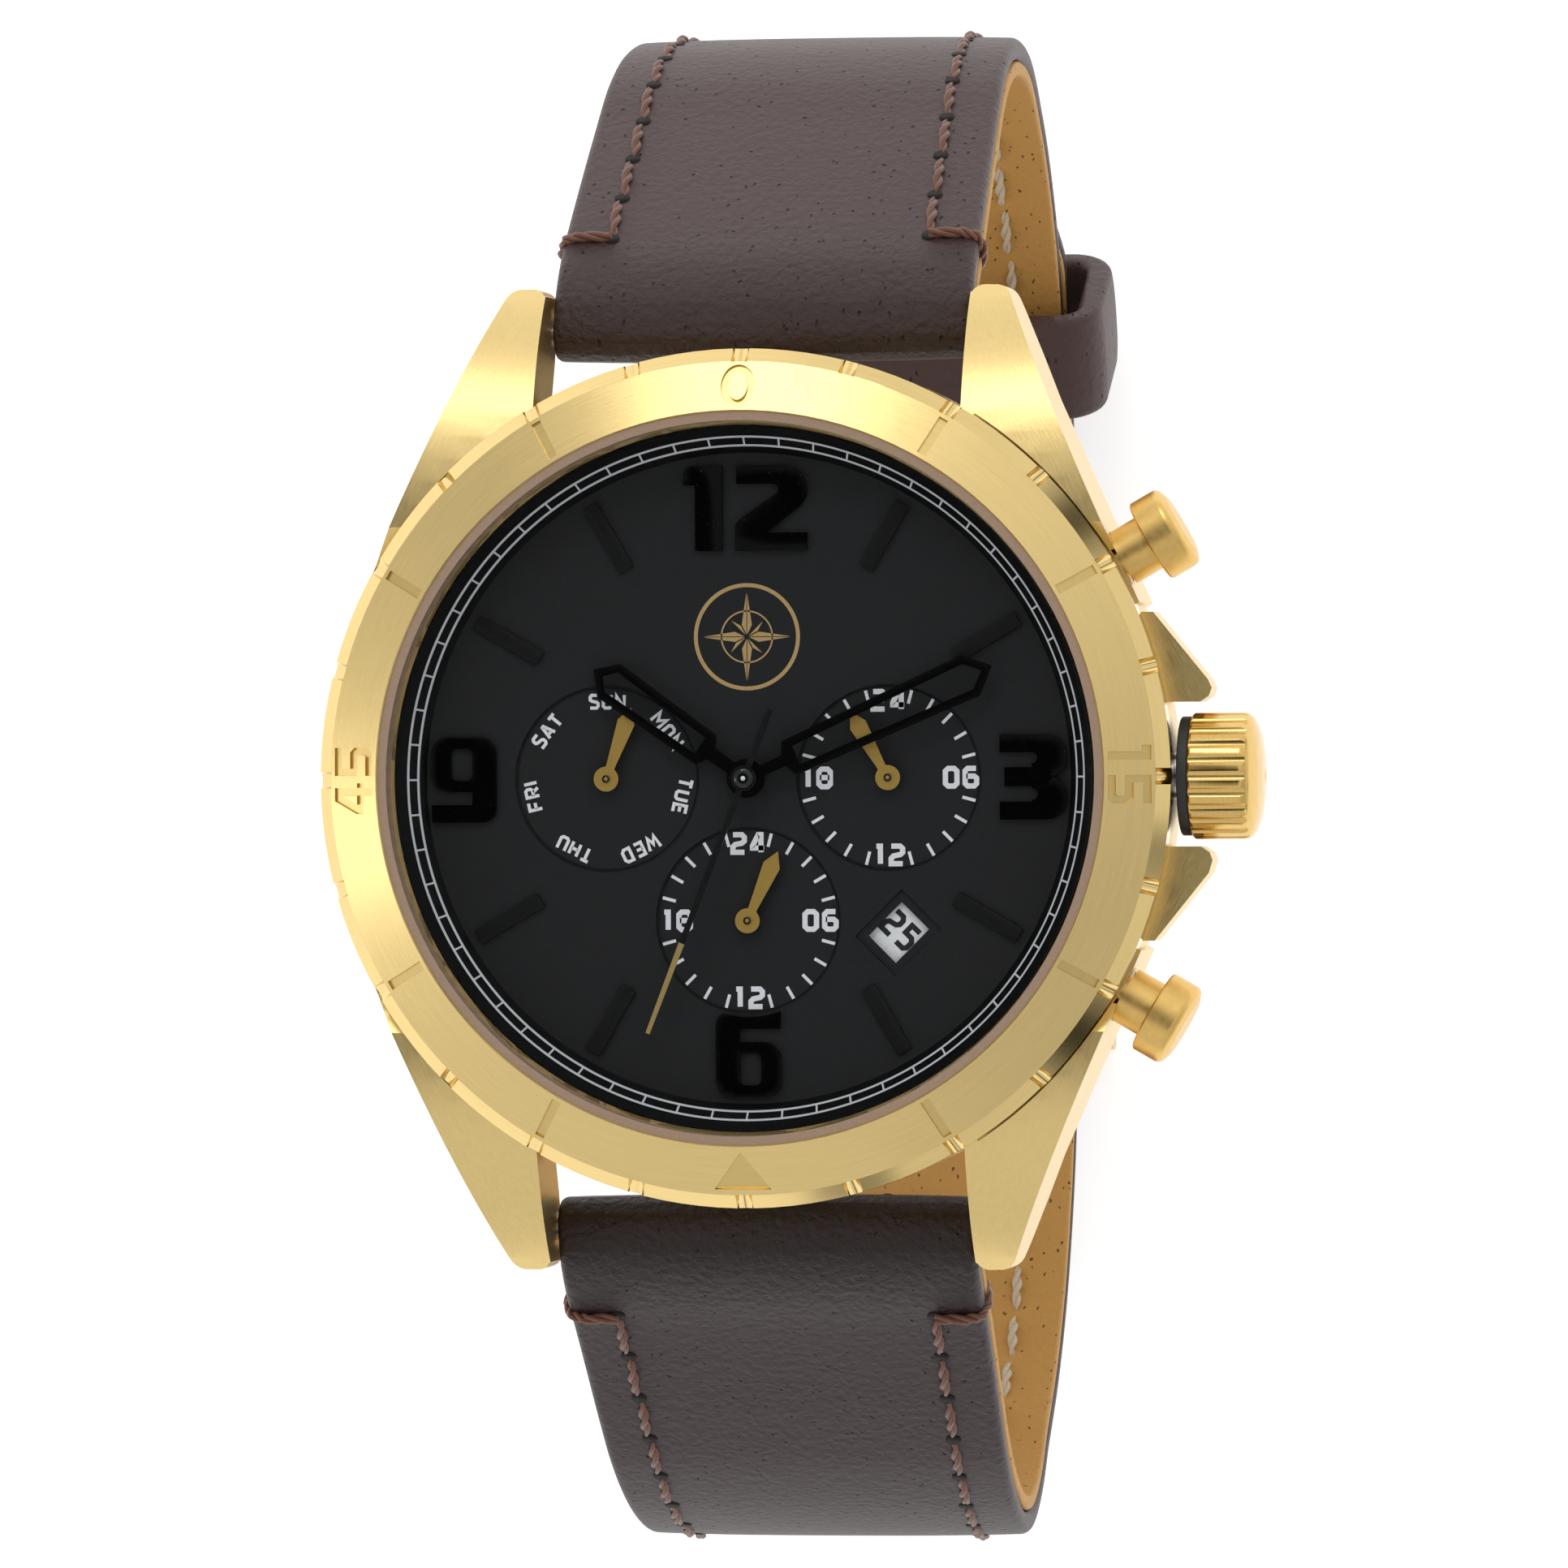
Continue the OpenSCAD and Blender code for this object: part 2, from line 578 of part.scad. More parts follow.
module main_plate() color([0.72, 0.66, 0.42]) watch() difference() {
    union() {
        disc(13.9, plate_low, plate_top);
        ring(13.9, 12.65, plate_top, dial_low);
        ring(12.62, 11.6, plate_top, -2.13);
        translate([-minute_reach, 0, 0]) disc(0.2, plate_top, -2.05);
        translate([idler_x, idler_y, 0]) disc(0.2, plate_top, -2.1);
        translate(lever_at) disc(0.3, -4.3, plate_low);
    }
    pivots(-4, -2);
    for (p = [[-sub_x, 0], [sub_x, 0], [0, -sub_x]]) translate(p) disc(pin_r + fit, -4, -2);
    translate([8.2, -1.1, -4]) cube([7, 2.2, 1.7]);
    for (p = post_places) translate(p) disc(0.3, -4, -2);
}

module train_bridge() color([0.75, 0.7, 0.5]) watch() difference() {
    union() {
        slab(bridge_low, bridge_top) polygon([[-2.2, 3.6], [-1.4, 6.6], [2.4, 8.0], [4.3, 7.6], [6.2, -0.6],
            [5.6, -2.8],
            [-1.6, -7.8], [-3.8, -7.2], [-3.8, -1.6], [-2.3, -0.6]]);
        for (p = post_places) translate(p) disc(0.75, bridge_top, plate_low);
    }
    pivots(-6, -5);
    for (p = post_places) translate(p) disc(0.3, -6, -3);
}

module movement_screws() color("Gainsboro") watch() for (p = post_places) translate(p) difference() {
    union() {
        disc(0.27, bridge_low, -3.2);
        disc(0.6, bridge_low - 0.2, bridge_low);
    }
    translate([0, 0, bridge_low - 0.2]) cube([2, 0.2, 0.2], center = true);
}

module circuit_board() color("DarkGreen") watch() difference() {
    disc(13.4, -5.9, -5.65);
    translate(battery_at) disc(4.95, -7, -5);
    translate([0, -0.8, 0]) disc(6.6, -7, -5);
}

module battery() color("Gainsboro") watch() translate(battery_at) {
    disc(4.75, -5.55, -3.9);
    disc(4.2, -3.9, -3.65);
}

module battery_clamp() color("Silver") watch() difference() {
    union() {
        slab(-6.1, -5.95) polygon([[-12.6, 3.2], [-12.6, 5.2], [-2.4, 5.2], [-2.4, 3.2]]);
        translate([-12.3, 4.2, 0]) disc(0.5, -5.95, -5.9);
    }
    translate([-12.3, 4.2, 0]) disc(0.2, -7, -5);
}

module coil_core() color("DimGray") watch() translate([6.0, 8.6, 0]) rotate([0, 0, -40]) {
    translate([0, 0, -4.5]) cube([9.4, 0.9, 0.5], center = true);
    for (x = [-1, 1]) translate([x * 5.1, 0, -4.5]) cube([1.4, 2.2, 0.5], center = true);
}

module coil_winding() color("Chocolate") watch()
    translate([6.0, 8.6, -4.5]) rotate([0, 0, -40]) difference() {
    cube([8.2, 1.6, 1.3], center = true);
    cube([9, 0.92, 0.52], center = true);
}

module stator() color("SlateGray") watch() difference() {
    slab(-4.2, -3.95) polygon([[-1.5, 3.9], [-1.5, 5.9], [1.0, 12.4], [2.4, 12.4], [2.1, 10.6], [1.4, 5.9],
        [9.4, 4.8], [9.4, 5.4], [10.4, 5.4], [10.4, 3.6], [1.5, 3.9]]);
    translate([0, inter_reach + rotor_reach, 0]) disc(0.75, -6, -3);
}

module movement_holder() color([0.85, 0.85, 0.82]) watch() difference() {
    ring(18.0, 13.95, -6.1, dial_low);
    translate([0, 0, crown_z]) rod(0.6, 13, 19);
    for (s = [-1, 1]) radial(s * push_angle) translate([0, 0, push_z]) rod(0.6, 17.0, 19);
}

module clutch_pinion() color("Khaki") on_crown_axis() difference() {
    rotate([0, 90, 0]) {
        translate([0, 0, 9.2]) linear_extrude(0.5) polygon(gear_outline(0.1, 14, 0));
        translate([0, 0, 9.7]) cylinder(r = 0.6, h = 1);
    }
    rod(0.45 + fit, 8, 12);
}

// Lever whose peg rides in the stem's groove
module setting_lever() color("Silver") watch() difference() {
    union() {
        slab(-4.2, -3.95) translate(lever_at) polygon([[-0.6, -0.6], [0.6, -0.6], [0.4, 4.95], [-0.4, 4.95]]);
        translate(lever_at) translate([0, 4.5, 0]) disc(0.18, -4.2, crown_z - 0.3);
    }
    translate(lever_at) disc(0.3 + fit, -5, -3);
}

// ---- strap ----

upper_out = [[23.2, -6.65], [24.7, -6.95], [25.8, -7.7], [27.1, -8.9], [28.9, -11.1], [32, -15.2],
    [34.6, -18.8], [37.3, -22.8], [39.1, -27.3], [39.9, -33], [39.1, -39.5], [35.9, -45.8], [30.4, -51.2],
    [24, -54.4], [16, -56.2], [8, -56.6], [3, -56.62], [-3.2, -56.62]];
lower_out = [[-23.2, -6.65], [-24.7, -6.95], [-25.9, -7.8], [-27.3, -9.3], [-29, -11.6], [-31.4, -14.6],
    [-34, -17.8], [-36.7, -21.4], [-38.9, -25.5], [-40.4, -30], [-40.9, -34], [-40.5, -37.5], [-39, -41.5],
    [-36.6, -45], [-33.3, -49.3], [-28.7, -53.4], [-22.7, -56.7], [-17, -58.4], [-11, -59.1], [-3, -59.2],
    [5, -59.2], [12, -59.1], [18, -58.5], [25, -56.8], [31, -53.8], [35.4, -49.9]];
strap_steps = 3;
upper_line = curve(upper_out, strap_steps);
lower_line = curve(lower_out, strap_steps);
roll_r = 1.65;
bar_r = 0.75;

// Narrows the strap from the lugs to the buckle
module strap_taper() rotate([90, 0, 0]) translate([0, 0, -50]) linear_extrude(100)
    polygon([[-strap_w / 2, 0], [-strap_w / 2, -10], [-strap_end_w / 2, -44], [-strap_end_w / 2, -64],
        [strap_end_w / 2, -64], [strap_end_w / 2, -44], [strap_w / 2, -10], [strap_w / 2, 0]]);

module strap_band(line, d0, d1) intersection() {
    across(-12, 12) polygon(band(line, d0, d1));
    strap_taper();
}

// Leather turned round a bar on the X axis
module bar_roll(r, half) rotate([0, 90, 0]) cylinder(r = r, h = 2 * half, center = true);

module upper_roll(r, half) translate([0, bar_y, bar_z]) bar_roll(r, half);
module lower_roll(r, half) translate([0, -bar_y, bar_z]) bar_roll(r, half);
module buckle_roll(r, half) translate([0, buckle_y, buckle_z]) bar_roll(r, half);

leather_t = strap_t - lining_t;

module strap_upper_leather() color([0.31, 0.25, 0.25]) watch() difference() {
    union() {
        strap_band(upper_line, 0, -leather_t);
        upper_roll(roll_r, strap_w / 2);
        buckle_roll(1.42, strap_end_w / 2);
    }
    upper_roll(bar_r + fit, 12);
    buckle_roll(bar_r + fit, 12);
    translate([-1.15, buckle_y - 3, buckle_z - 3]) cube([2.3, 4.5, 6]);
}

module strap_upper_lining() color([0.74, 0.55, 0.27]) watch() difference() {
    strap_band(upper_line, -leather_t, -strap_t);
    upper_roll(roll_r, 13);
    buckle_roll(1.42, 13);
}

module tongue_slot() translate([-0.85, -13.2, -60]) cube([1.7, 5.3, 4]);

// Punched holes along the long strap
hole_places = [[17.5, -57.5], [24.4, -55.8], [-25.3, -54.3], [-31.2, -50.1]];
module punched_holes() for (p = hole_places) translate([0, p[0], p[1]])
    rotate([p[0] > 20 ? 26 : (p[0] > 0 ? 8 : (p[0] > -28 ? -31 : -41)), 0, 0])
        cylinder(r = 0.8, h = 6, center = true);

module strap_lower_leather() color([0.31, 0.25, 0.25]) watch() difference() {
    union() {
        strap_band(lower_line, 0, leather_t);
        lower_roll(roll_r, strap_w / 2);
    }
    lower_roll(bar_r + fit, 12);
    tongue_slot();
    punched_holes();
}

module strap_lower_lining() color([0.74, 0.55, 0.27]) watch() difference() {
    strap_band(lower_line, leather_t, strap_t);
    lower_roll(roll_r, 13);
    tongue_slot();
    punched_holes();
}

module lug_spring_bars() color("Silver") watch() for (y = [-bar_y, bar_y]) translate([0, y, bar_z]) {
    bar_roll(bar_r, lug_in - 0.1);
    bar_roll(0.42, lug_in + 1.1);
}

// ---- buckle and keepers ----

frame_in = strap_end_w / 2 + 0.35;
frame_out = frame_in + 1.45;
function side_plate() = concat(arc([buckle_y, buckle_z], 1.3, 20, 150, 6),
    [[-10.5, -57.6], [-15.2, -59.1]], arc([-14.6, -60.2], 0.7, 180, 270, 4),
    [[-13, -60.9], [-10, -59.9]], arc([buckle_y, buckle_z], 1.3, 240, 320, 4));

module buckle_frame() color("Goldenrod") watch() difference() {
    union() {
        for (side = [-1, 1]) across(side > 0 ? frame_in : -frame_out, side > 0 ? frame_out : -frame_in)
            polygon(side_plate());
        across(-frame_out, frame_out) polygon(concat([[-15.3, -60.2]], arc([-14.6, -60.2], 0.7, 180, 270, 4),
            [[-13, -60.9], [-12.9, -59.1], [-15.2, -59.1]]));
    }
    buckle_roll(0.5, 13);
    translate([-0.9, -17, -61.5]) cube([1.8, 6, 1.5]);
}

module buckle_spring_bar() color("Silver") watch() {
    buckle_roll(bar_r, strap_end_w / 2 + 0.1);
    buckle_roll(0.46, frame_out - 0.1);
}

function tongue_side() = concat(arc([buckle_y, buckle_z], 1.15, 80, -80, 8),
    [[-8.2, -56.6], [-12, -60.65], [-15, -60.88], [-15.3, -60.35], [-12.6, -60.15], [-8.7, -55.75]],
    arc([buckle_y, buckle_z], 1.15, 190, 110, 6));

module buckle_tongue() color("Goldenrod") watch() difference() {
    across(-0.65, 0.65) polygon(tongue_side());
    buckle_roll(bar_r + fit, 3);
}

// Rectangular leather loop round both straps, seen along the strap
module loop_band(x_in, z0, z1, wall, len) difference() {
    translate([-x_in - wall, 0, z0 - wall]) cube([2 * (x_in + wall), len, z1 - z0 + 2 * wall]);
    translate([-x_in, -1, z0]) cube([2 * x_in, len + 2, z1 - z0]);
}

keeper_wall = 1.5;
module keeper_fixed() color([0.31, 0.25, 0.25]) watch()
    translate([0, -1, 0]) loop_band(strap_end_w / 2 + 0.25, -59.4, -54.35, keeper_wall, 8);

keeper_tilt = 26.5;
module keeper_free() color([0.31, 0.25, 0.25]) watch() translate([0, 25.8, -56.4])
    rotate([keeper_tilt, 0, 0]) translate([0, -3, 0])
        loop_band(strap_end_w / 2 + 1.1, -0.5, 6.4, keeper_wall, 6);

// ---- every sub-part in its place ----

case_middle();
bezel();
crystal();
crystal_gasket();
rehaut_ring();
dial();
applied_numerals();
applied_markers();
case_back();
case_back_gasket();
case_back_screws();
crown_tube();
crown_gasket();
crown();
crown_ring();
crown_stem();
pusher_tubes();
pusher_springs();
pusher_upper();
pusher_upper_clip();
pusher_lower();
pusher_lower_clip();
hour_hand();
minute_hand();
seconds_hand();
day_hand();
right_24h_hand();
lower_24h_hand();
movement_holder();
main_plate();
train_bridge();
circuit_board();
battery();
battery_clamp();
coil_core();
coil_winding();
stator();
rotor();
intermediate_wheel();
seconds_wheel();
third_wheel();
center_wheel();
cannon_pinion();
minute_wheel();
hour_wheel();
idler_wheel();
date_disc();
clutch_pinion();
setting_lever();
movement_screws();
strap_upper_leather();
strap_upper_lining();
strap_lower_leather();
strap_lower_lining();
lug_spring_bars();
buckle_frame();
buckle_tongue();
buckle_spring_bar();
keeper_fixed();
keeper_free();
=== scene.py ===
"""A chronograph wristwatch, standing dial up on its closed strap. Sizes are in millimetres."""
import math
import random

import bmesh
import bpy
from mathutils import Matrix, Vector


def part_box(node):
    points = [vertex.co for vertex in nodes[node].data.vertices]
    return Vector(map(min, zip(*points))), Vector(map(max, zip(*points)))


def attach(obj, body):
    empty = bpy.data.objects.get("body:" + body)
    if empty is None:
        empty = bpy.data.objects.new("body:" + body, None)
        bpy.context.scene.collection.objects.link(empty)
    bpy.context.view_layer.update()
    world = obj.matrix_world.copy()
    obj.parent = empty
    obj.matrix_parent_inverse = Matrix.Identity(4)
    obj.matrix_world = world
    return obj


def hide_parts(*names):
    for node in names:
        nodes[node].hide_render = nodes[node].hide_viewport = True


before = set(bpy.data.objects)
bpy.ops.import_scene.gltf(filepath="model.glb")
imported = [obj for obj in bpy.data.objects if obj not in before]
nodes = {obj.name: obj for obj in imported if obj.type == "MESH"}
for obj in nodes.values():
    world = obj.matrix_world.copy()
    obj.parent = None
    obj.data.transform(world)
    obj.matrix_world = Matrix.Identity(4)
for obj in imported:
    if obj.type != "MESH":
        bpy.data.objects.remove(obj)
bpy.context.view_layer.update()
HEAD = "watch_head"
MM = 0.001
random.seed(7)

# ---- sizes taken from the frame ----

DIAL_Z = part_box("dial")[1][2] / MM
LIFT = DIAL_Z + 1.45  # the bezel's outer edge
SUB_X = 7.3
SUB_Z = DIAL_Z - 0.15
DATE_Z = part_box("date_disc")[1][2] / MM
STRAP_W, STRAP_END_W, STRAP_T, LINING_T = 21.9, 20.0, 2.2, 0.8
LEATHER_T = STRAP_T - LINING_T
CONE_SLOPE = 1.12 / 2.59  # of the bezel's face
BAR_Y, BAR_Z, ROLL_R = 23.2, -8.3, 1.65
BUCKLE_Y, BUCKLE_Z = -4.2, -55.2


# ---- camera, light and floor ----

def make_camera():
    """The camera leans to the crown's side and looks down on the dial."""
    tilt, far = math.radians(8.5), 600.0
    aim = Vector((2.1, -0.3, LIFT))
    back = Vector((math.sin(tilt), 0, math.cos(tilt)))
    up = Vector((0, 1, 0))
    right = up.cross(back)
    cam = bpy.data.objects.new("camera", bpy.data.cameras.new("camera"))
    cam.data.lens = 269.4
    cam.data.sensor_width = 36
    cam.data.clip_start = 0.01
    turn = Matrix((right, up, back)).transposed().to_4x4()
    roll = Matrix.Rotation(math.radians(-0.3), 4, "Z")
    cam.matrix_world = Matrix.Translation((aim + back * far) * MM) @ turn @ roll
    bpy.context.scene.collection.objects.link(cam)
    bpy.context.scene.camera = cam


def area_light(name, place, aim, size, power):
    lamp = bpy.data.lights.new(name, "AREA")
    lamp.shape = "RECTANGLE"
    lamp.size, lamp.size_y = size[0] * MM, size[1] * MM
    lamp.energy = power
    obj = bpy.data.objects.new(name, lamp)
    obj.location = Vector(place) * MM
    obj.rotation_euler = (Vector(aim) - Vector(place)).to_track_quat("-Z", "Y").to_euler()
    bpy.context.scene.collection.objects.link(obj)


# grey cards in the room: where they hang, half width in degrees, half width with soft edge, tone
CARDS = [((-0.148, 0, 0.989), 12, 22, 0.02),  # over the dial, mirrored by the crystal
         ((-0.55, 0.50, 0.67), 8, 34, 0.62), ((0.60, -0.48, 0.64), 8, 34, 0.70),
         ((0.75, 0.08, 0.66), 5, 30, 0.80), ((-1, -0.07, 0.05), 4, 8, 0.05),
         ((-0.80, 0.60, 0.06), 3, 7, 0.05), ((0.72, 0.66, 0.06), 3, 7, 0.1),
         ((0.74, -0.68, 0.06), 4, 8, 0.05), ((0.95, -0.2, 0.03), 3, 6, 0.25),
         ((0.1, -1, 0.05), 5, 9, 0.3)]


def make_studio():
    world = bpy.data.worlds.new("studio")
    bpy.context.scene.world = world
    world.use_nodes = True
    g = Graph(world.node_tree, clear=True)
    ray = g.add("ShaderNodeTexCoord").outputs["Generated"]
    ahead = g.add("ShaderNodeSeparateXYZ", Vector=ray).outputs["Y"]
    strength = g.math("ADD", g.math("MULTIPLY", ahead, 0.14), 1.12)
    for aim, inner, outer, tone in CARDS:
        length = math.sqrt(sum(v * v for v in aim))
        near = g.vmath("DOT_PRODUCT", ray, tuple(v / length for v in aim))
        edges = [(math.cos(math.radians(outer)), 1.0), (math.cos(math.radians(inner)), tone)]
        strength = g.math("MULTIPLY", strength, g.ramp(near, edges))
    back = g.add("ShaderNodeBackground", Strength=strength)
    out = g.add("ShaderNodeOutputWorld")
    g.link(back.outputs[0], out.inputs["Surface"])
    area_light("key", (-60, 420, 420), (0, 0, 40), (260, 120), 0.4)
    area_light("rim", (-440, -60, 360), (0, 0, 40), (120, 260), 0.2)
    mesh = bpy.data.meshes.new("floor")
    half = 1.5
    corners = [(-half, -half, 0), (half, -half, 0), (half, half, 0), (-half, half, 0)]
    mesh.from_pydata(corners, [], [(0, 1, 2, 3)])
    floor = bpy.data.objects.new("floor", mesh)
    floor.location.z = -0.0002
    bpy.context.scene.collection.objects.link(floor)
    glow = {"Emission_Color": (1, 1, 1, 1), "Emission_Strength": 0.55}
    mesh.materials.append(plain("floor_paper", (0.9, 0.9, 0.9), 0.9, **glow))
    bpy.context.scene.view_settings.view_transform = "Standard"


# ---- node graphs ----

class Graph:
    """Short calls for building a node tree."""

    def __init__(self, tree, clear=False):
        self.tree = tree
        if clear:
            tree.nodes.clear()

    def link(self, a, b):
        self.tree.links.new(a, b)

    def put(self, socket, value):
        if isinstance(value, bpy.types.NodeSocket):
            self.link(value, socket)
        elif isinstance(value, (int, float)) or len(value) == len(socket.default_value):
            socket.default_value = value
        else:
            socket.default_value = (*value, 1)

    def add(self, kind, **values):
        node = self.tree.nodes.new(kind)
        for key, value in values.items():
            self.put(node.inputs[key.replace("_", " ")], value)
        return node

    def math(self, op, a, b=0.0, c=0.0):
        node = self.tree.nodes.new("ShaderNodeMath")
        node.operation = op
        for socket, value in zip(node.inputs, (a, b, c)):
            self.put(socket, value)
        return node.outputs[0]

    def vmath(self, op, a, b=(0, 0, 0)):
        node = self.tree.nodes.new("ShaderNodeVectorMath")
        node.operation = op
        self.put(node.inputs[0], a)
        self.put(node.inputs[1], b)
        return node.outputs["Value"] if op in ("DOT_PRODUCT", "LENGTH") else node.outputs["Vector"]

    def ramp(self, fac, stops):
        node = self.tree.nodes.new("ShaderNodeValToRGB")
        self.put(node.inputs["Fac"], fac)
        band = node.color_ramp.elements
        while len(band) < len(stops):
            band.new(0.5)
        for mark, (at, value) in zip(band, stops):
            mark.position = at
            mark.color = (value, value, value, 1) if isinstance(value, (int, float)) else (*value, 1)
        return node.outputs["Color"]

    def noise(self, vector, scale, detail=3.0, rough=0.5):
        node = self.add("ShaderNodeTexNoise", Vector=vector, Scale=scale, Detail=detail, Roughness=rough)
        return node.outputs["Fac"]

    def cells(self, vector, scale, feature="F1"):
        node = self.add("ShaderNodeTexVoronoi", Vector=vector, Scale=scale)
        node.feature = feature
        return node.outputs["Distance"]

    def between(self, fac, a, b):
        """A value that goes from a to b as fac goes from 0 to 1."""
        node = self.add("ShaderNodeMapRange", Value=fac)
        node.inputs["To Min"].default_value = a
        node.inputs["To Max"].default_value = b
        return node.outputs[0]

    def mix(self, fac, a, b):
        node = self.tree.nodes.new("ShaderNodeMix")
        node.data_type = "RGBA"
        self.put(node.inputs["Factor"], fac)
        self.put(node.inputs[6], a)
        self.put(node.inputs[7], b)
        return node.outputs[2]

    def bump(self, height, depth_mm, strength=1.0, normal=None):
        node = self.add("ShaderNodeBump", Height=height, Distance=depth_mm * MM, Strength=strength)
        if normal is not None:
            self.link(normal, node.inputs["Normal"])
        return node.outputs["Normal"]


def start(name, base=(0.5, 0.5, 0.5), metallic=0.0, roughness=0.5, **fixed):
    """A new material's graph, its shader and its object coordinates in millimetres."""
    made = bpy.data.materials.new(name)
    made.use_nodes = True
    g = Graph(made.node_tree)
    g.material = made
    shader = made.node_tree.nodes["Principled BSDF"]
    g.put(shader.inputs["Base Color"], base)
    shader.inputs["Metallic"].default_value = metallic
    shader.inputs["Roughness"].default_value = roughness
    for key, value in fixed.items():
        shader.inputs[key.replace("_", " ")].default_value = value
    place = g.add("ShaderNodeTexCoord").outputs["Object"]
    return g, shader, g.vmath("MULTIPLY", place, (1 / MM, 1 / MM, 1 / MM))


def plain(name, base, roughness, metallic=0.0, grain=6.0, **fixed):
    """A quiet surface with a fine grain in its tone, gloss and relief."""
    g, shader, at = start(name, base, metallic, roughness, **fixed)
    grains = g.noise(at, grain, 4.0)
    dark = tuple(0.86 * c for c in base)
    light = tuple(min(1, 1.1 * c) for c in base)
    g.put(shader.inputs["Base Color"], g.mix(grains, dark, light))
    g.put(shader.inputs["Roughness"], g.between(grains, roughness * 0.85, min(1, roughness * 1.15)))
    g.put(shader.inputs["Normal"], g.bump(grains, 0.01, 0.4))
    return g.material


def brushed_round(name, base, roughness, centre=(0, 0), axis="Z", depth=0.01, rim=None, **fixed):
    """Metal brushed in circles about an axis. A rim gives where it is polished from and the cone's height;
    what lies below that cone inside the rim gets painted shade.
    """
    g, shader, at = start(name, base, 1.0, roughness, **fixed)
    xyz = g.add("ShaderNodeSeparateXYZ", Vector=at).outputs
    first, second = {"Z": ("X", "Y"), "X": ("Y", "Z")}[axis]
    a = g.math("SUBTRACT", xyz[first], centre[0])
    b = g.math("SUBTRACT", xyz[second], centre[1])
    radius = g.math("SQRT", g.math("ADD", g.math("MULTIPLY", a, a), g.math("MULTIPLY", b, b)))
    turn = g.math("ARCTAN2", b, a)
    lines = g.add("ShaderNodeCombineXYZ", X=g.math("MULTIPLY", radius, 26.0), Y=g.math("MULTIPLY", turn, 5.0),
                  Z=g.math("MULTIPLY", xyz[axis], 14.0)).outputs[0]
    scratch = g.noise(lines, 1.0, 5.0, 0.65)
    broad = g.noise(at, 0.25, 2.0)
    tone = g.mix(scratch, tuple(0.80 * c for c in base), tuple(min(1, 1.12 * c) for c in base))
    g.put(shader.inputs["Base Color"], tone)
    rough = g.between(scratch, roughness * 0.75, roughness * 1.2)
    rough = g.math("ADD", rough, g.between(broad, -0.03, 0.03))
    height = scratch
    if rim:
        matt = g.math("LESS_THAN", radius, rim[0])
        cone = g.math("ADD", xyz["Z"], g.math("MULTIPLY", radius, CONE_SLOPE))
        # painted shade: recesses cut below the cone's face, such as the engraving, are tinted darker
        recess_shade = g.math("MULTIPLY", matt, g.math("LESS_THAN", cone, rim[1] - 0.07))
        g.put(shader.inputs["Base Color"], g.mix(recess_shade, tone, g.vmath("MULTIPLY", tone, (0.88, 0.86, 0.80))))
        rough = g.math("MULTIPLY", rough, g.between(matt, 0.3, 1.0))
        height = g.math("MULTIPLY", scratch, matt)
    g.put(shader.inputs["Roughness"], rough)
    g.put(shader.inputs["Normal"], g.bump(height, depth, 0.5))
    return g.material


def brushed_along(name, base, roughness, **fixed):
    """Metal brushed along the lugs, the same way on all four."""
    g, shader, at = start(name, base, 1.0, roughness, **fixed)
    xyz = g.add("ShaderNodeSeparateXYZ", Vector=at).outputs
    x, y = g.math("ABSOLUTE", xyz["X"]), g.math("ABSOLUTE", xyz["Y"])
    across = g.math("ADD", g.math("MULTIPLY", x, 0.9), g.math("MULTIPLY", y, 0.44))
    along = g.math("SUBTRACT", g.math("MULTIPLY", y, 0.9), g.math("MULTIPLY", x, 0.44))
    lines = g.add("ShaderNodeCombineXYZ", X=g.math("MULTIPLY", across, 18.0),
                  Y=g.math("MULTIPLY", along, 0.9),
                  Z=g.math("MULTIPLY", xyz["Z"], 4.0)).outputs[0]
    scratch = g.noise(lines, 1.0, 5.0, 0.65)
    tone = g.mix(scratch, tuple(0.82 * c for c in base), tuple(min(1, 1.12 * c) for c in base))
    g.put(shader.inputs["Base Color"], tone)
    g.put(shader.inputs["Roughness"], g.between(scratch, roughness * 0.75, roughness * 1.2))
    g.put(shader.inputs["Normal"], g.bump(scratch, 0.02, 0.5))
    return g.material


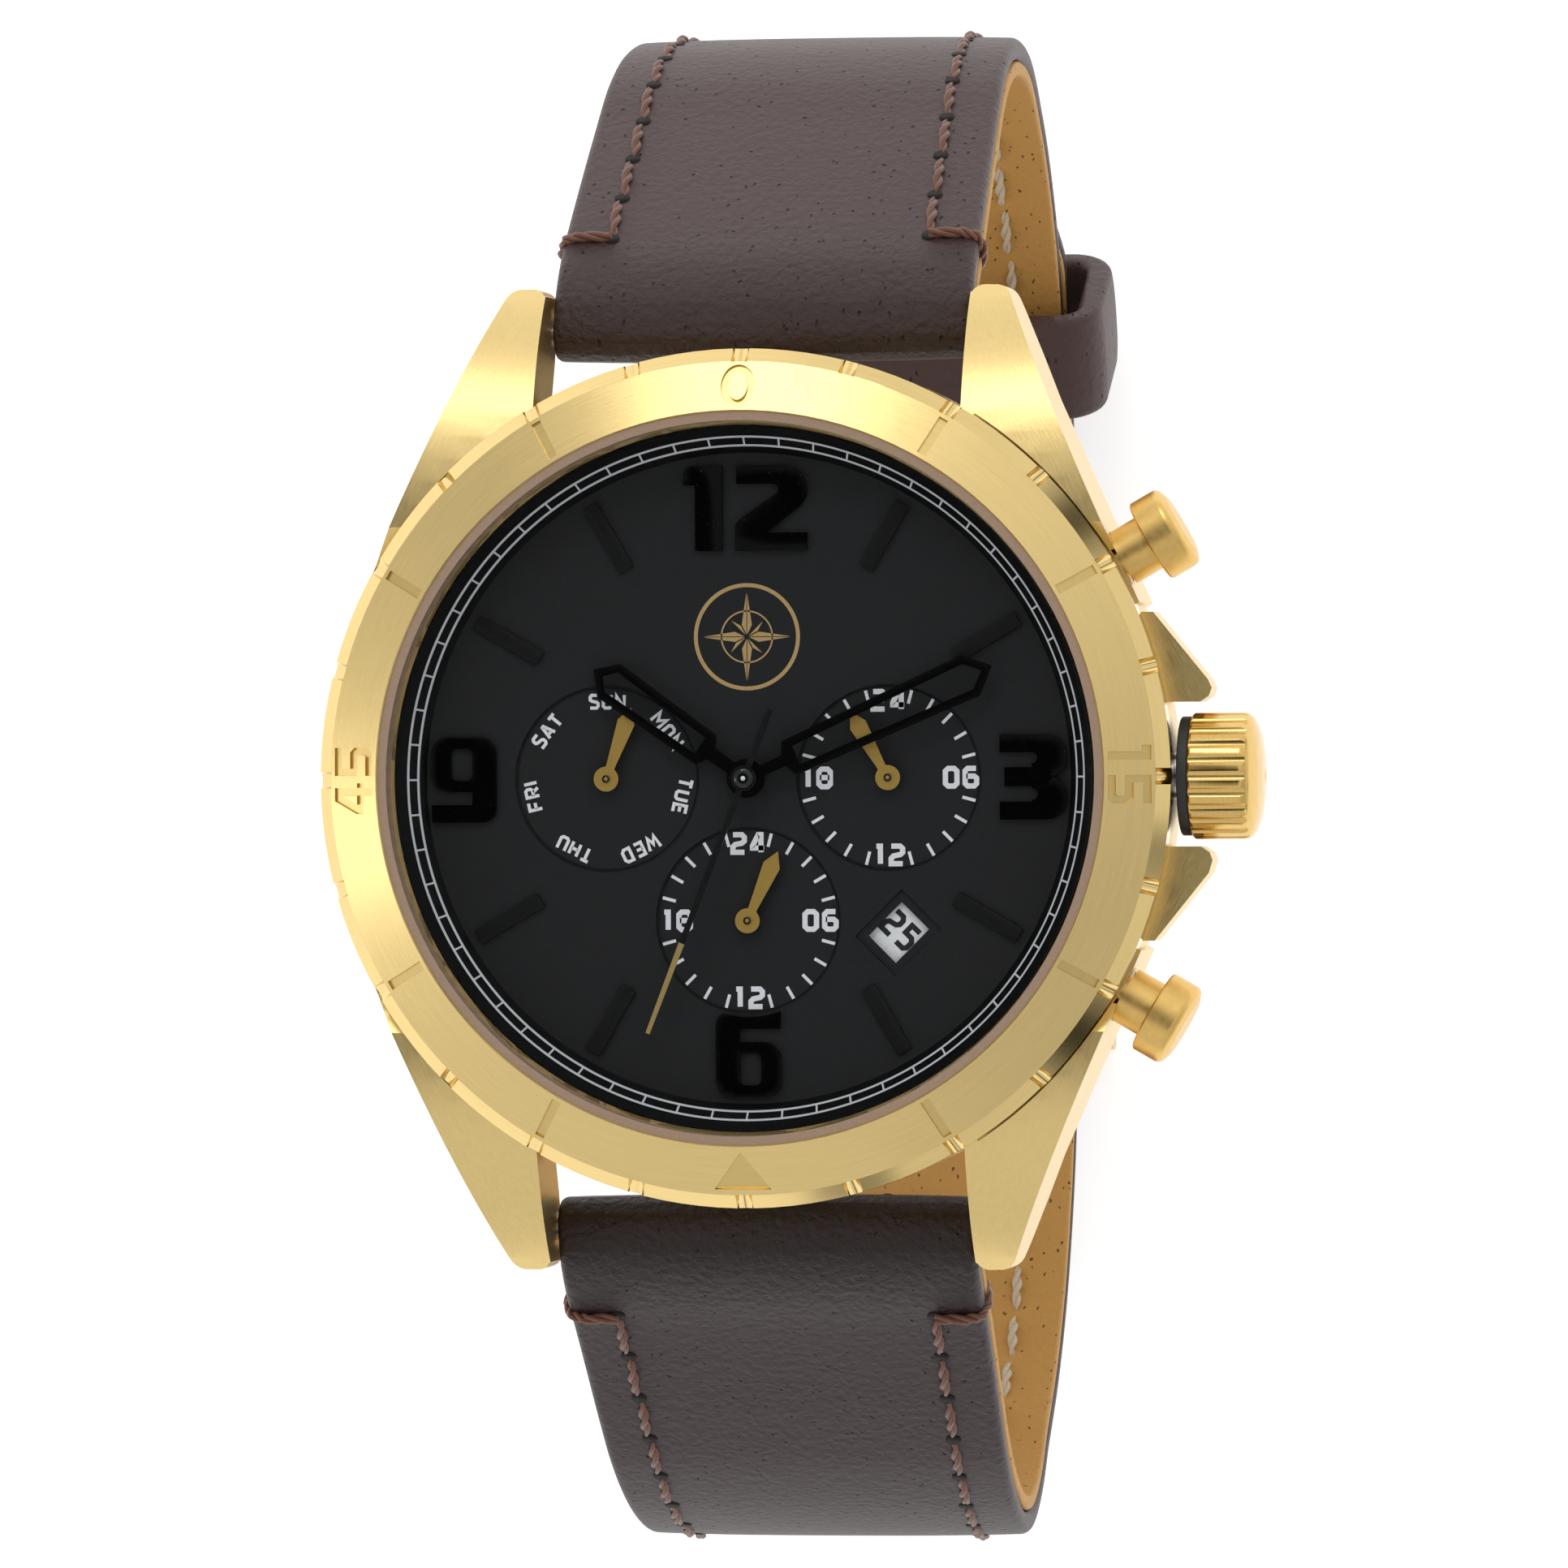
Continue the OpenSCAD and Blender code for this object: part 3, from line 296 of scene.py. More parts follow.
def leather(name, base, dark, pore_scale=1.1, roughness=0.44, low_half_shade=1.0):
    """Smooth calf leather with a soft pebble and sparse dark pores. The last argument tints the half towards
    six as painted shade, and the leather is painted darker by the lugs as painted shade.
    """
    g, shader, at = start(name, base, 0.0, roughness, Specular_IOR_Level=0.35)
    warp = g.add("ShaderNodeTexNoise", Vector=at, Scale=0.8, Detail=3.0).outputs["Color"]
    moved = g.vmath("ADD", at, g.vmath("MULTIPLY", warp, (0.7, 0.7, 0.7)))
    pebble = g.cells(moved, 2.6, "SMOOTH_F1")
    fine = g.noise(moved, 7.0, 5.0, 0.6)
    pores = g.cells(g.vmath("MULTIPLY", moved, (1.5, 0.8, 0.8)), pore_scale)
    pit = g.ramp(pores, [(0.06, 0.0), (0.15, 1.0)])
    broad = g.noise(at, 0.12, 3.0)
    tone = g.mix(g.between(broad, 0.25, 0.75), dark, base)
    tone = g.mix(g.between(fine, 0.0, 0.45), tone, tuple(1.35 * c for c in base))
    xyz = g.add("ShaderNodeSeparateXYZ", Vector=at).outputs
    # painted shade: the half towards six is tinted darker, because that side gets less light
    half = g.ramp(g.math("GREATER_THAN", xyz["Y"], 0.0), [(0, low_half_shade), (1, 1.0)])
    # painted shade by the lugs: from 11.5 mm below the bezel's edge upwards the tone falls to 0.62; the same
    # mask also lowers roughness and raises the bump
    roll = g.math("DIVIDE", g.math("SUBTRACT", xyz["Z"], LIFT - 11.5), 4.0)
    tone = g.vmath("MULTIPLY", g.vmath("MULTIPLY", tone, half), g.ramp(roll, [(0, 1.0), (1, 0.62)]))
    tone = g.mix(pit, tuple(0.35 * c for c in dark), tone)
    g.put(shader.inputs["Base Color"], tone)
    rough = g.between(fine, roughness * 0.8, roughness * 1.25)
    g.put(shader.inputs["Roughness"], g.math("MULTIPLY", rough, g.ramp(roll, [(0, 1.0), (1, 0.75)])))
    height = g.math("ADD", g.math("MULTIPLY", pebble, 0.7), g.math("MULTIPLY", fine, 0.5))
    soft = g.bump(g.math("MULTIPLY", height, g.ramp(roll, [(0.3, 0.5), (0.8, 1.3)])), 0.2, 0.8)
    g.put(shader.inputs["Normal"], g.bump(pit, 0.16, 1.0, soft))
    return g.material


def thread(name, base, dark):
    g, shader, at = start(name, base, 0.0, 0.42, Sheen_Weight=0.3)
    strand = g.noise(at, 9.0, 4.0, 0.6)
    g.put(shader.inputs["Base Color"], g.mix(strand, dark, base))
    g.put(shader.inputs["Normal"], g.bump(strand, 0.05, 0.6))
    return g.material


def sparkle(name, base, roughness=0.35, metallic=1.0, **fixed):
    """Metallic paint with fine flakes."""
    g, shader, at = start(name, base, metallic, roughness, **fixed)
    flakes = g.noise(at, 22.0, 2.0)
    dark, light = (tuple(min(1, k * c) for c in base) for k in (0.6, 1.4))
    g.put(shader.inputs["Base Color"], g.mix(flakes, dark, light))
    g.put(shader.inputs["Normal"], g.bump(flakes, 0.02, 0.8))
    return g.material


def speckled(name, base):
    """Glossy black lacquer with a few bright specks, which are painted glints."""
    g, shader, at = start(name, base, 0.0, 0.08, Specular_IOR_Level=0.08)
    glint_specks = g.noise(at, 11.0, 4.0, 0.7)
    # painted highlights: the specks get a light grey colour and more roughness, standing in for glints
    lit = g.ramp(glint_specks, [(0.66, 0.0), (0.74, 1.0)])
    g.put(shader.inputs["Base Color"], g.mix(lit, base, (0.16, 0.16, 0.16)))
    g.put(shader.inputs["Roughness"], g.between(lit, 0.07, 0.4))
    return g.material


def clear_glass(name):
    """The crystal: seen through, with a thin mirror on top."""
    made = bpy.data.materials.new(name)
    made.use_nodes = True
    g = Graph(made.node_tree, clear=True)
    at = g.add("ShaderNodeTexCoord").outputs["Object"]
    smear = g.noise(at, 60.0, 2.0)
    through = g.add("ShaderNodeBsdfTransparent", Color=(0.97, 0.98, 0.99))
    shine = g.add("ShaderNodeBsdfGlossy", Color=(1, 1, 1), Roughness=g.between(smear, 0.0, 0.02))
    edge = g.add("ShaderNodeFresnel", IOR=1.35)
    front = g.math("SUBTRACT", 1.0, g.add("ShaderNodeNewGeometry").outputs["Backfacing"])
    blend = g.add("ShaderNodeMixShader", Fac=g.math("MULTIPLY", edge.outputs[0], front))
    g.link(through.outputs[0], blend.inputs[1])
    g.link(shine.outputs[0], blend.inputs[2])
    out = g.add("ShaderNodeOutputMaterial")
    g.link(blend.outputs[0], out.inputs["Surface"])
    return made


def second_hand_paint(name):
    """Black from the tail to two thirds of the needle, gold at the end."""
    gold, black = (0.62, 0.44, 0.16), (0.012, 0.012, 0.012)
    g, shader, at = start(name, gold, 0.6, 0.35)
    xyz = g.add("ShaderNodeSeparateXYZ", Vector=at).outputs
    flat = g.add("ShaderNodeCombineXYZ", X=xyz["X"], Y=xyz["Y"]).outputs[0]
    far = g.math("GREATER_THAN", g.vmath("LENGTH", flat), 9.05)
    grain = g.noise(at, 14.0)
    worn = g.mix(grain, tuple(0.8 * c for c in gold), gold)
    g.put(shader.inputs["Base Color"], g.mix(far, black, worn))
    g.put(shader.inputs["Roughness"], g.between(grain, 0.28, 0.4))
    return g.material


GOLD = (0.80, 0.60, 0.255)
DEEP_GOLD = (0.74, 0.50, 0.17)
BROWN, BROWN_DARK = (0.067, 0.038, 0.036), (0.046, 0.025, 0.024)
TAN, TAN_DARK = (0.52, 0.285, 0.075), (0.40, 0.20, 0.045)

make_camera()
make_studio()

PAINT = {
    "gold": brushed_round("gold_brushed", GOLD, 0.30, rim=(21.3, LIFT + 0.7 + 21.32 * CONE_SLOPE)),
    "case": brushed_along("case_brushed", GOLD, 0.32),
    "gold_smooth": plain("gold_smooth", DEEP_GOLD, 0.24, 1.0, grain=3.0),
    "gold_satin": plain("gold_satin", (0.76, 0.50, 0.16), 0.36, 1.0, grain=3.0),
    "gloss_black": plain("hub_black", (0.003, 0.003, 0.003), 0.08),
    "crown": brushed_round("crown_gold", DEEP_GOLD, 0.2, (0, LIFT - 3.3), "X", 0.006),
    "steel": plain("steel_satin", (0.70, 0.70, 0.71), 0.28, 1.0, grain=8.0),
    "back": brushed_round("back_steel", (0.72, 0.71, 0.69), 0.3),
    "crystal": clear_glass("crystal_clear"),
    "tan_gasket": plain("gasket_tan", (0.36, 0.245, 0.165), 0.5),
    "rubber": plain("rubber_black", (0.02, 0.02, 0.02), 0.55),
    "dial": plain("dial_black", (0.0235, 0.0235, 0.0237), 0.6, grain=12.0, Specular_IOR_Level=0.05),
    "rehaut": plain("rehaut_black", (0.004, 0.004, 0.004), 0.3, Specular_IOR_Level=0.3),
    "numeral": speckled("numeral_black", (0.0012, 0.0012, 0.0012)),
    "marker": plain("marker_black", (0.0125, 0.0125, 0.0125), 0.4, grain=12.0, Specular_IOR_Level=0.05),
    "hand": plain("hand_black", (0.0015, 0.0015, 0.0015), 0.3, grain=9.0, Specular_IOR_Level=0.05),
    "hand_gold": sparkle("hand_gold", (0.45, 0.29, 0.075), 0.45),
    "seconds": second_hand_paint("hand_seconds"),
    "white_print": plain("white_print", (0.82, 0.82, 0.82), 0.6),
    "grey_print": plain("grey_print", (0.70, 0.70, 0.71), 0.6),
    "gold_print": sparkle("gold_print", (0.50, 0.33, 0.13), 0.5, 0.3),
    "black_print": plain("black_print", (0.008, 0.008, 0.008), 0.5),
    "white_disc": plain("date_white", (0.86, 0.86, 0.84), 0.5),
    "brass": plain("brass_satin", (0.78, 0.62, 0.32), 0.3, 1.0, grain=10.0),
    "plate": plain("plate_brass", (0.70, 0.62, 0.42), 0.35, 1.0, grain=5.0),
    "board": plain("board_green", (0.03, 0.16, 0.07), 0.5),
    "copper": plain("copper_wire", (0.62, 0.27, 0.12), 0.35, 1.0, grain=14.0),
    "iron": plain("iron_dark", (0.22, 0.22, 0.24), 0.4, 1.0),
    "holder": plain("holder_white", (0.74, 0.73, 0.70), 0.5),
    # the tint given for the half towards six is painted shade
    "leather": leather("leather_brown", BROWN, BROWN_DARK, low_half_shade=(0.42, 0.29, 0.34)),
    "lining": leather("leather_tan", TAN, TAN_DARK, 1.6, 0.62),
    "thread": thread("thread_brown", (0.25, 0.082, 0.033), (0.06, 0.018, 0.008)),
    "cream": thread("thread_cream", (0.72, 0.62, 0.46), (0.42, 0.32, 0.2)),
    # painted shade for the inside of the needle holes
    "hole": plain("hole_shade", (0.012, 0.008, 0.007), 0.8),
}

NODE_PAINT = {
    "bezel": "gold", "case_middle": "case", "crystal": "crystal", "crystal_gasket": "tan_gasket",
    "rehaut_ring": "rehaut", "dial": "dial", "applied_numerals": "numeral", "applied_markers": "marker",
    "case_back": "back", "case_back_gasket": "rubber", "case_back_screws": "steel", "crown_tube": "steel",
    "crown_gasket": "rubber", "crown": "crown", "crown_ring": "rubber", "crown_stem": "steel",
    "pusher_tubes": "gold_satin", "pusher_springs": "steel", "pusher_upper": "gold_satin",
    "pusher_upper_clip": "steel", "pusher_lower": "gold_satin", "pusher_lower_clip": "steel",
    "hour_hand": "hand", "minute_hand": "hand", "seconds_hand": "seconds", "day_hand": "hand_gold",
    "right_24h_hand": "hand_gold", "lower_24h_hand": "hand_gold", "movement_holder": "holder",
    "main_plate": "plate", "train_bridge": "plate", "circuit_board": "board", "battery": "steel",
    "battery_clamp": "steel", "coil_core": "iron", "coil_winding": "copper", "stator": "iron",
    "rotor": "iron",
    "date_disc": "white_disc", "clutch_pinion": "brass", "setting_lever": "steel", "movement_screws": "steel",
    "cannon_pinion": "steel", "lug_spring_bars": "steel", "buckle_frame": "gold_smooth",
    "buckle_tongue": "gold_smooth", "buckle_spring_bar": "steel",
}


def paint_nodes():
    for name, node in nodes.items():
        node.data.materials.clear()
        node.data.materials.append(PAINT[NODE_PAINT.get(name, "brass")])


def soften(name, angle=16):
    """Smooth shading over a CAD piece's small steps, with its real edges kept sharp."""
    node = nodes[name]
    node.modifiers.new("weld", "WELD").merge_threshold = 1e-6
    node.modifiers.new("keep", "EDGE_SPLIT").split_angle = math.radians(angle)
    node.modifiers.new("even", "WEIGHTED_NORMAL")
    for face in node.data.polygons:
        face.use_smooth = True


def bevel(name, width, angle=35, segments=3):
    """Breaks a CAD piece's sharp edges without touching its own mesh."""
    node = nodes[name]
    weld = node.modifiers.new("weld", "WELD")
    weld.merge_threshold = 1e-6
    soft = node.modifiers.new("edges", "BEVEL")
    soft.width = width * MM
    soft.segments = segments
    soft.limit_method = "ANGLE"
    soft.angle_limit = math.radians(angle)
    soft.harden_normals = True
    for face in node.data.polygons:
        face.use_smooth = True


# ---- mesh helpers ----

def solid_mesh(name, points, faces):
    """A mesh from points in millimetres, its faces turned outwards."""
    mesh = bpy.data.meshes.new(name)
    mesh.from_pydata([Vector(p) * MM for p in points], [], faces)
    mesh.validate()
    work = bmesh.new()
    work.from_mesh(mesh)
    bmesh.ops.recalc_face_normals(work, faces=work.faces)
    work.to_mesh(mesh)
    work.free()
    return mesh


def piece(name, points, faces, paint, body=HEAD, smooth=True):
    """A mesh made from points in millimetres in the watch's own frame, riding on a body."""
    mesh = solid_mesh(name, points, faces)
    mesh.materials.append(PAINT[paint])
    for face in mesh.polygons:
        face.use_smooth = smooth
    obj = bpy.data.objects.new(name, mesh)
    bpy.context.scene.collection.objects.link(obj)
    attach(obj, body)
    return obj


class Shape:
    """Points and faces gathered for one piece."""

    def __init__(self):
        self.points, self.faces = [], []

    def add(self, points, faces):
        base = len(self.points)
        self.points += [tuple(p) for p in points]
        self.faces += [tuple(base + i for i in f) for f in faces]

    def make(self, name, paint, body=HEAD, slot=None, smooth=True):
        return piece(name, self.points, self.faces, paint, body, smooth)


def tube_faces(rings, sides, closed_ends=True):
    faces = []
    for low in range(0, (rings - 1) * sides, sides):
        for k in range(sides):
            j = (k + 1) % sides
            faces.append((low + k, low + j, low + sides + j, low + sides + k))
    if closed_ends:
        faces += [tuple(range(sides - 1, -1, -1)), tuple((rings - 1) * sides + k for k in range(sides))]
    return faces


def sheet_prism(outline, z0, z1):
    """A flat outline in X and Y as a closed prism."""
    n = len(outline)
    points = [(x, y, z0) for x, y in outline] + [(x, y, z1) for x, y in outline]
    faces = [tuple(range(n - 1, -1, -1)), tuple(range(n, 2 * n))]
    faces += [(k, (k + 1) % n, n + (k + 1) % n, n + k) for k in range(n)]
    return points, faces


def turned(outline, clock, at=(0, 0)):
    c, s = math.cos(math.radians(clock)), math.sin(math.radians(clock))
    return [(at[0] + x * c + y * s, at[1] - x * s + y * c) for x, y in outline]


def circle(steps):
    """Points evenly round a circle of radius one."""
    return [(math.cos(2 * math.pi * k / steps), math.sin(2 * math.pi * k / steps)) for k in range(steps)]


# ---- dial printing ----

INK = 0.012


def cone_height(r):
    """Height of the sloping ring round the dial at radius r."""
    return DIAL_Z + (r - 16.7) * 1.65 / 1.32


def cone_strip(r0, r1, a0, a1, steps):
    points, faces = [], []
    for i in range(steps + 1):
        a = math.radians(a0 + (a1 - a0) * i / steps)
        for r, up in ((r0, INK), (r1, INK), (r1, -INK), (r0, -INK)):
            points.append((r * math.sin(a), r * math.cos(a), cone_height(r) + up))
    return points, tube_faces(steps + 1, 4)


def minute_track():
    shape = Shape()
    for r in (17.07, 17.5):
        shape.add(*cone_strip(r - 0.05, r + 0.05, 0, 359.99, 240))
    for i in range(60):
        half = math.degrees(0.05 / 17.3)
        shape.add(*cone_strip(17.1, 17.47, 6 * i - half, 6 * i + half, 1))
    shape.make("minute_track", "grey_print", slot="dial_black", smooth=False)


CUT = 0.15
ROUND_O = [(0.24, 0), (0.76, 0), (1, CUT), (1, 1 - CUT), (0.76, 1), (0.24, 1), (0, 1 - CUT), (0, CUT),
           (0.24, 0)]
SIX = [(0.94, 1), (0.22, 1), (0, 0.86), (0, 0.14), (0.22, 0), (0.78, 0), (1, 0.14), (1, 0.44),
       (0.78, 0.56), (0.1, 0.56)]
# middle lines of the strokes of each sign, in a unit box
SIGNS = {
    "0": [ROUND_O], "1": [[(0.05, 1), (0.62, 1), (0.62, 0)]],
    "2": [[(0.02, 1), (0.78, 1), (1, 0.86), (1, 0.64), (0.8, 0.52), (0.2, 0.44), (0, 0.3), (0, 0), (1, 0)]],
    "3": [[(0, 1), (0.78, 1), (1, 0.86), (1, 0.64), (0.84, 0.52), (1, 0.4), (1, 0.14), (0.78, 0), (0, 0)],
          [(0.25, 0.52), (0.84, 0.52)]],
    "4": [[(0.74, 0), (0.74, 1), (0.5, 1), (0, 0.36), (0, 0.24), (1, 0.24)]],
    "5": [[(0.96, 1), (0.05, 1), (0.05, 0.58), (0.76, 0.58), (1, 0.44), (1, 0.14), (0.78, 0), (0, 0)]],
    "6": [SIX], "7": [[(0, 1), (1, 1), (1, 0.86), (0.36, 0)]],
    "8": [ROUND_O, [(0.08, 0.52), (0.92, 0.52)]], "9": [[(1 - x, 1 - y) for x, y in SIX]],
    "A": [[(0, 0), (0.4, 1), (0.6, 1), (1, 0)], [(0.26, 0.28), (0.74, 0.28)]],
    "D": [[(0, 0), (0.72, 0), (1, 0.2), (1, 0.8), (0.72, 1), (0, 1), (0, 0)]],
    "E": [[(0.95, 1), (0, 1), (0, 0), (0.95, 0)], [(0.1, 0.5), (0.85, 0.5)]],
    "F": [[(0.95, 1), (0, 1), (0, 0)], [(0.1, 0.48), (0.85, 0.48)]],
    "H": [[(0, 0), (0, 1)], [(1, 0), (1, 1)], [(0.1, 0.5), (0.9, 0.5)]], "I": [[(0.5, 0), (0.5, 1)]],
    "M": [[(0, 0), (0, 1), (0.5, 0.4), (1, 1), (1, 0)]], "N": [[(0, 0), (0, 1), (1, 0), (1, 1)]],
    "O": [ROUND_O],
    "R": [[(0, 0), (0, 1), (0.8, 1), (1, 0.86), (1, 0.6), (0.8, 0.46), (0.1, 0.46)], [(0.55, 0.42), (1, 0)]],
    "S": [[(0.96, 1), (0.2, 1), (0, 0.86), (0, 0.64), (0.2, 0.54), (0.8, 0.46), (1, 0.36), (1, 0.14),
           (0.8, 0), (0, 0)]],
    "T": [[(0, 1), (1, 1)], [(0.5, 0.9), (0.5, 0)]],
    "U": [[(0, 1), (0, 0.14), (0.22, 0), (0.78, 0), (1, 0.14), (1, 1)]],
    "W": [[(0, 1), (0.2, 0), (0.5, 0.6), (0.8, 0), (1, 1)]],
}
BROAD = {"I": 0.3, "M": 1.25, "W": 1.35, "1": 0.72}


def stroke(line, half, z0, z1):
    """A flat ribbon of even width along a line, mitred at its corners."""
    p = [Vector(v) for v in line]
    closed = (p[0] - p[-1]).length < 1e-6
    if closed:
        p.pop()
    n, left, right = len(p), [], []
    for i in range(n):
        before = (p[i] - p[i - 1]).normalized() if closed or i else (p[1] - p[0]).normalized()
        after = (p[(i + 1) % n] - p[i]).normalized() if closed or i < n - 1 else before
        side = Vector((-before.y - after.y, before.x + after.x)).normalized()
        reach = half / max(0.45, side.dot(Vector((-before.y, before.x))))
        left.append(p[i] + side * reach)
        right.append(p[i] - side * reach)
    points = [(q.x, q.y, z) for a, b in zip(left, right) for q, z in ((a, z0), (b, z0), (b, z1), (a, z1))]
    faces = tube_faces(n, 4, not closed)
    if closed:
        last = 4 * (n - 1)
        faces += [(last + k, last + (k + 1) % 4, (k + 1) % 4, k) for k in range(4)]
    return points, faces


def letters(name, words, height, slim, weight, z, paint, body=HEAD, slot=None):
    """Printed words as one mesh. Each word has its text, its place and its turn in degrees."""
    shape, half = Shape(), weight * height / 2
    for text, (x, y), turn in words:
        widths = [slim * height * BROAD.get(sign, 1) for sign in text]
        gap = 0.13 * height
        left = -(sum(widths) + gap * (len(text) - 1)) / 2
        for sign, width in zip(text, widths):
            for line in SIGNS[sign]:
                flat = [(left + half + u * (width - 2 * half), -height / 2 + half + v * (height - 2 * half))
                        for u, v in line]
                shape.add(*stroke(turned(flat, -turn, (x, y)), half, z, z + INK))
            left += width + gap
    return shape.make(name, paint, body, slot, smooth=False)


def sub_dials():
    days = ["SUN", "MON", "TUE", "WED", "THU", "FRI", "SAT"]
    words = []
    for i, day in enumerate(days):
        clock = 360 / 7 * i
        a = math.radians(clock)
        words.append((day, (-SUB_X + 3.98 * math.sin(a), 3.98 * math.cos(a)), -clock))
    letters("day_names", words, 0.82, 0.70, 0.2, SUB_Z, "white_print", slot="date_white")
    hours, ticks = [], Shape()
    for cx, cy in ((SUB_X, 0), (0, -SUB_X)):
        for text, dx, dy in (("24", 0, 3.96), ("06", 3.72, 0), ("12", 0, -3.96), ("18", -3.72, 0)):
            hours.append((text, (cx + dx, cy + dy), 0))
        for i in range(24):
            if i % 6:
                bar = [(-0.08, 3.92), (0.08, 3.92), (0.08, 4.62), (-0.08, 4.62)]
                ticks.add(*sheet_prism(turned(bar, 15 * i, (cx, cy)), SUB_Z, SUB_Z + INK))
    letters("hour_numbers", hours, 1.17, 0.74, 0.23, SUB_Z, "white_print", slot="date_white")
    ticks.make("hour_ticks", "white_print", slot="date_white", smooth=False)


def date_numbers():
    """Every day of the month on the disc, the twenty-fifth in the window."""
    words = []
    for day in range(1, 32):
        turn = -45 + (day - 25) * 360 / 31
        a = math.radians(turn)
        words.append((str(day), (11.05 * math.cos(a), 11.05 * math.sin(a)), turn))
    letters("date_numbers", words, 1.45, 0.62, 0.19, DATE_Z, "black_print", "date_disc", "dial_black")


def compass_badge():
    """A plain gold ring round an eight pointed star."""
    centre, shape = (0, 7.26), Shape()
    for r_in, r_out in ((2.55, 2.75), (1.28, 1.36)):
        points, faces, steps = [], [], 96
        for i in range(steps):
            a = 2 * math.pi * i / steps
            for r, z in ((r_in, 0), (r_out, 0), (r_out, INK), (r_in, INK)):
                points.append((centre[0] + r * math.cos(a), centre[1] + r * math.sin(a), DIAL_Z + z))
        for i in range(steps):
            j = (i + 1) % steps
            faces += [(4 * i + k, 4 * i + (k + 1) % 4, 4 * j + (k + 1) % 4, 4 * j + k) for k in range(4)]
        shape.add(points, faces)
    for i in range(8):
        reach = 2.25 if i % 2 == 0 else 1.15
        for side in (-1, 1):
            broad = 0.26 if i % 2 == 0 else 0.18
            blade = [(0.02 * side, 0.12), (0.02 * side, reach), (broad * side, 0.62)]
            if side < 0:
                blade.reverse()
            if i % 2 and side < 0:
                continue
            shape.add(*sheet_prism(turned(blade, 45 * i, centre), DIAL_Z, DIAL_Z + INK))
    shape.make("dial_badge", "gold_print", slot="hand_gold", smooth=False)


def disc(shape, at, r, z0, z1, steps=32):
    edge = [(at[0] + x * r, at[1] + y * r) for x, y in circle(steps)]
    shape.add(*sheet_prism(edge, z0, z1))


def hand_pins():
    """The polished cap over the centre, and in the small hands' hubs a black disc of painted shade for the
    pin hole with the pin's gold end on it.
    """
    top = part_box("seconds_hand")[1][2] / MM
    cap, points, rings = Shape(), [], [(0.55, 0.0), (0.55, 0.05), (0.46, 0.11), (0.3, 0.15), (0.14, 0.16)]
    for r, z in rings:
        points += [(x * r, y * r, top + z) for x, y in circle(40)]
    cap.add(points, tube_faces(len(rings), 40))
    cap.make("centre_cap", "gloss_black", "seconds_arbor", "black_gloss")
    pin = Shape()
    disc(pin, (0, 0), 0.13, top + 0.1, top + 0.19)
    pin.make("centre_pin", "steel", "seconds_arbor", "steel_plain")
    for name, body, node, at in (("day_pin", "day_arbor", "day_hand", (-SUB_X, 0)),
                                 ("right_pin", "right_24h_arbor", "right_24h_hand", (SUB_X, 0)),
                                 ("lower_pin", "lower_24h_arbor", "lower_24h_hand", (0, -SUB_X))):
        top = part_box(node)[1][2] / MM
        # painted shade: a gloss black disc for the dark pin hole, under the gold pin end
        pin = Shape()
        disc(pin, at, 0.2, top, top + 0.015)
        pin.make(name, "gloss_black", body, "black_gloss")
        pin = Shape()
        disc(pin, at, 0.1, top + 0.01, top + 0.04)
        pin.make(name + "_end", "hand_gold", body, "hand_gold")


# ---- strap ----

# the outer faces of the two halves below the lug bar, in Y and Z from the bezel's outer edge
UPPER_OUT = [(24.7, -6.95), (25.8, -7.7), (27.1, -8.9), (28.9, -11.1), (32, -15.2), (34.6, -18.8),
             (37.3, -22.8), (39.1, -27.3), (39.9, -33), (39.1, -39.5), (35.9, -45.8), (30.4, -51.2),
             (24, -54.4), (16, -56.2), (8, -56.6), (3, -56.62), (-3.2, -56.62)]
LOWER_OUT = [(-24.7, -6.95), (-25.9, -7.8), (-27.3, -9.3), (-29, -11.6), (-31.4, -14.6), (-34, -17.8),
             (-36.7, -21.4), (-38.9, -25.5), (-40.4, -30), (-40.9, -34), (-40.5, -37.5), (-39, -41.5),
             (-36.6, -45), (-33.3, -49.3), (-28.7, -53.4), (-22.7, -56.7), (-17, -58.4), (-11, -59.1),
             (-3, -59.2), (5, -59.2), (12, -59.1), (18, -58.5), (25, -56.8), (31, -53.8), (35.4, -49.9)]
LUG_START = (BAR_Y, BAR_Z + ROLL_R)
LINE_STEP = 0.7
ROLL_T = 0.86  # leather round the lug bars, skived thin
TIP = 8.0  # length of the lower half's rounded end
BUCKLE_ROLL_R = 1.42
STITCH_PITCH, STITCH_IN, STITCH_GAP = 3.7, 2.6, 0.2


def knot(p, i):
    return Vector(p[min(max(i, 0), len(p) - 1)])


def smooth_line(p, n):
    """A smooth curve through the points, n steps between each two."""
    line = []
    for i in range(len(p) - 1):
        a, b, c, d = (knot(p, i + k) for k in (-1, 0, 1, 2))
        for k in range(n):
            t = k / n
            line.append(0.5 * (2 * b + (c - a) * t + (2 * a - 5 * b + 4 * c - d) * t * t
                               + (3 * b - a - 3 * c + d) * t * t * t))
    return line + [Vector(p[-1])]


def distances(line):
    """How far along the line each of its points is."""
    gone = [0.0]
    for a, b in zip(line, line[1:]):
        gone.append(gone[-1] + (b - a).length)
    return gone


def even_line(line, step):
    """The same curve with points a step apart."""
    gone = distances(line)
    count = max(2, round(gone[-1] / step))
    found, k = [], 0
    for i in range(count + 1):
        want = gone[-1] * i / count
        while k < len(gone) - 2 and gone[k + 1] < want:
            k += 1
        t = (want - gone[k]) / max(1e-9, gone[k + 1] - gone[k])
        found.append(line[k].lerp(line[k + 1], t))
    return found


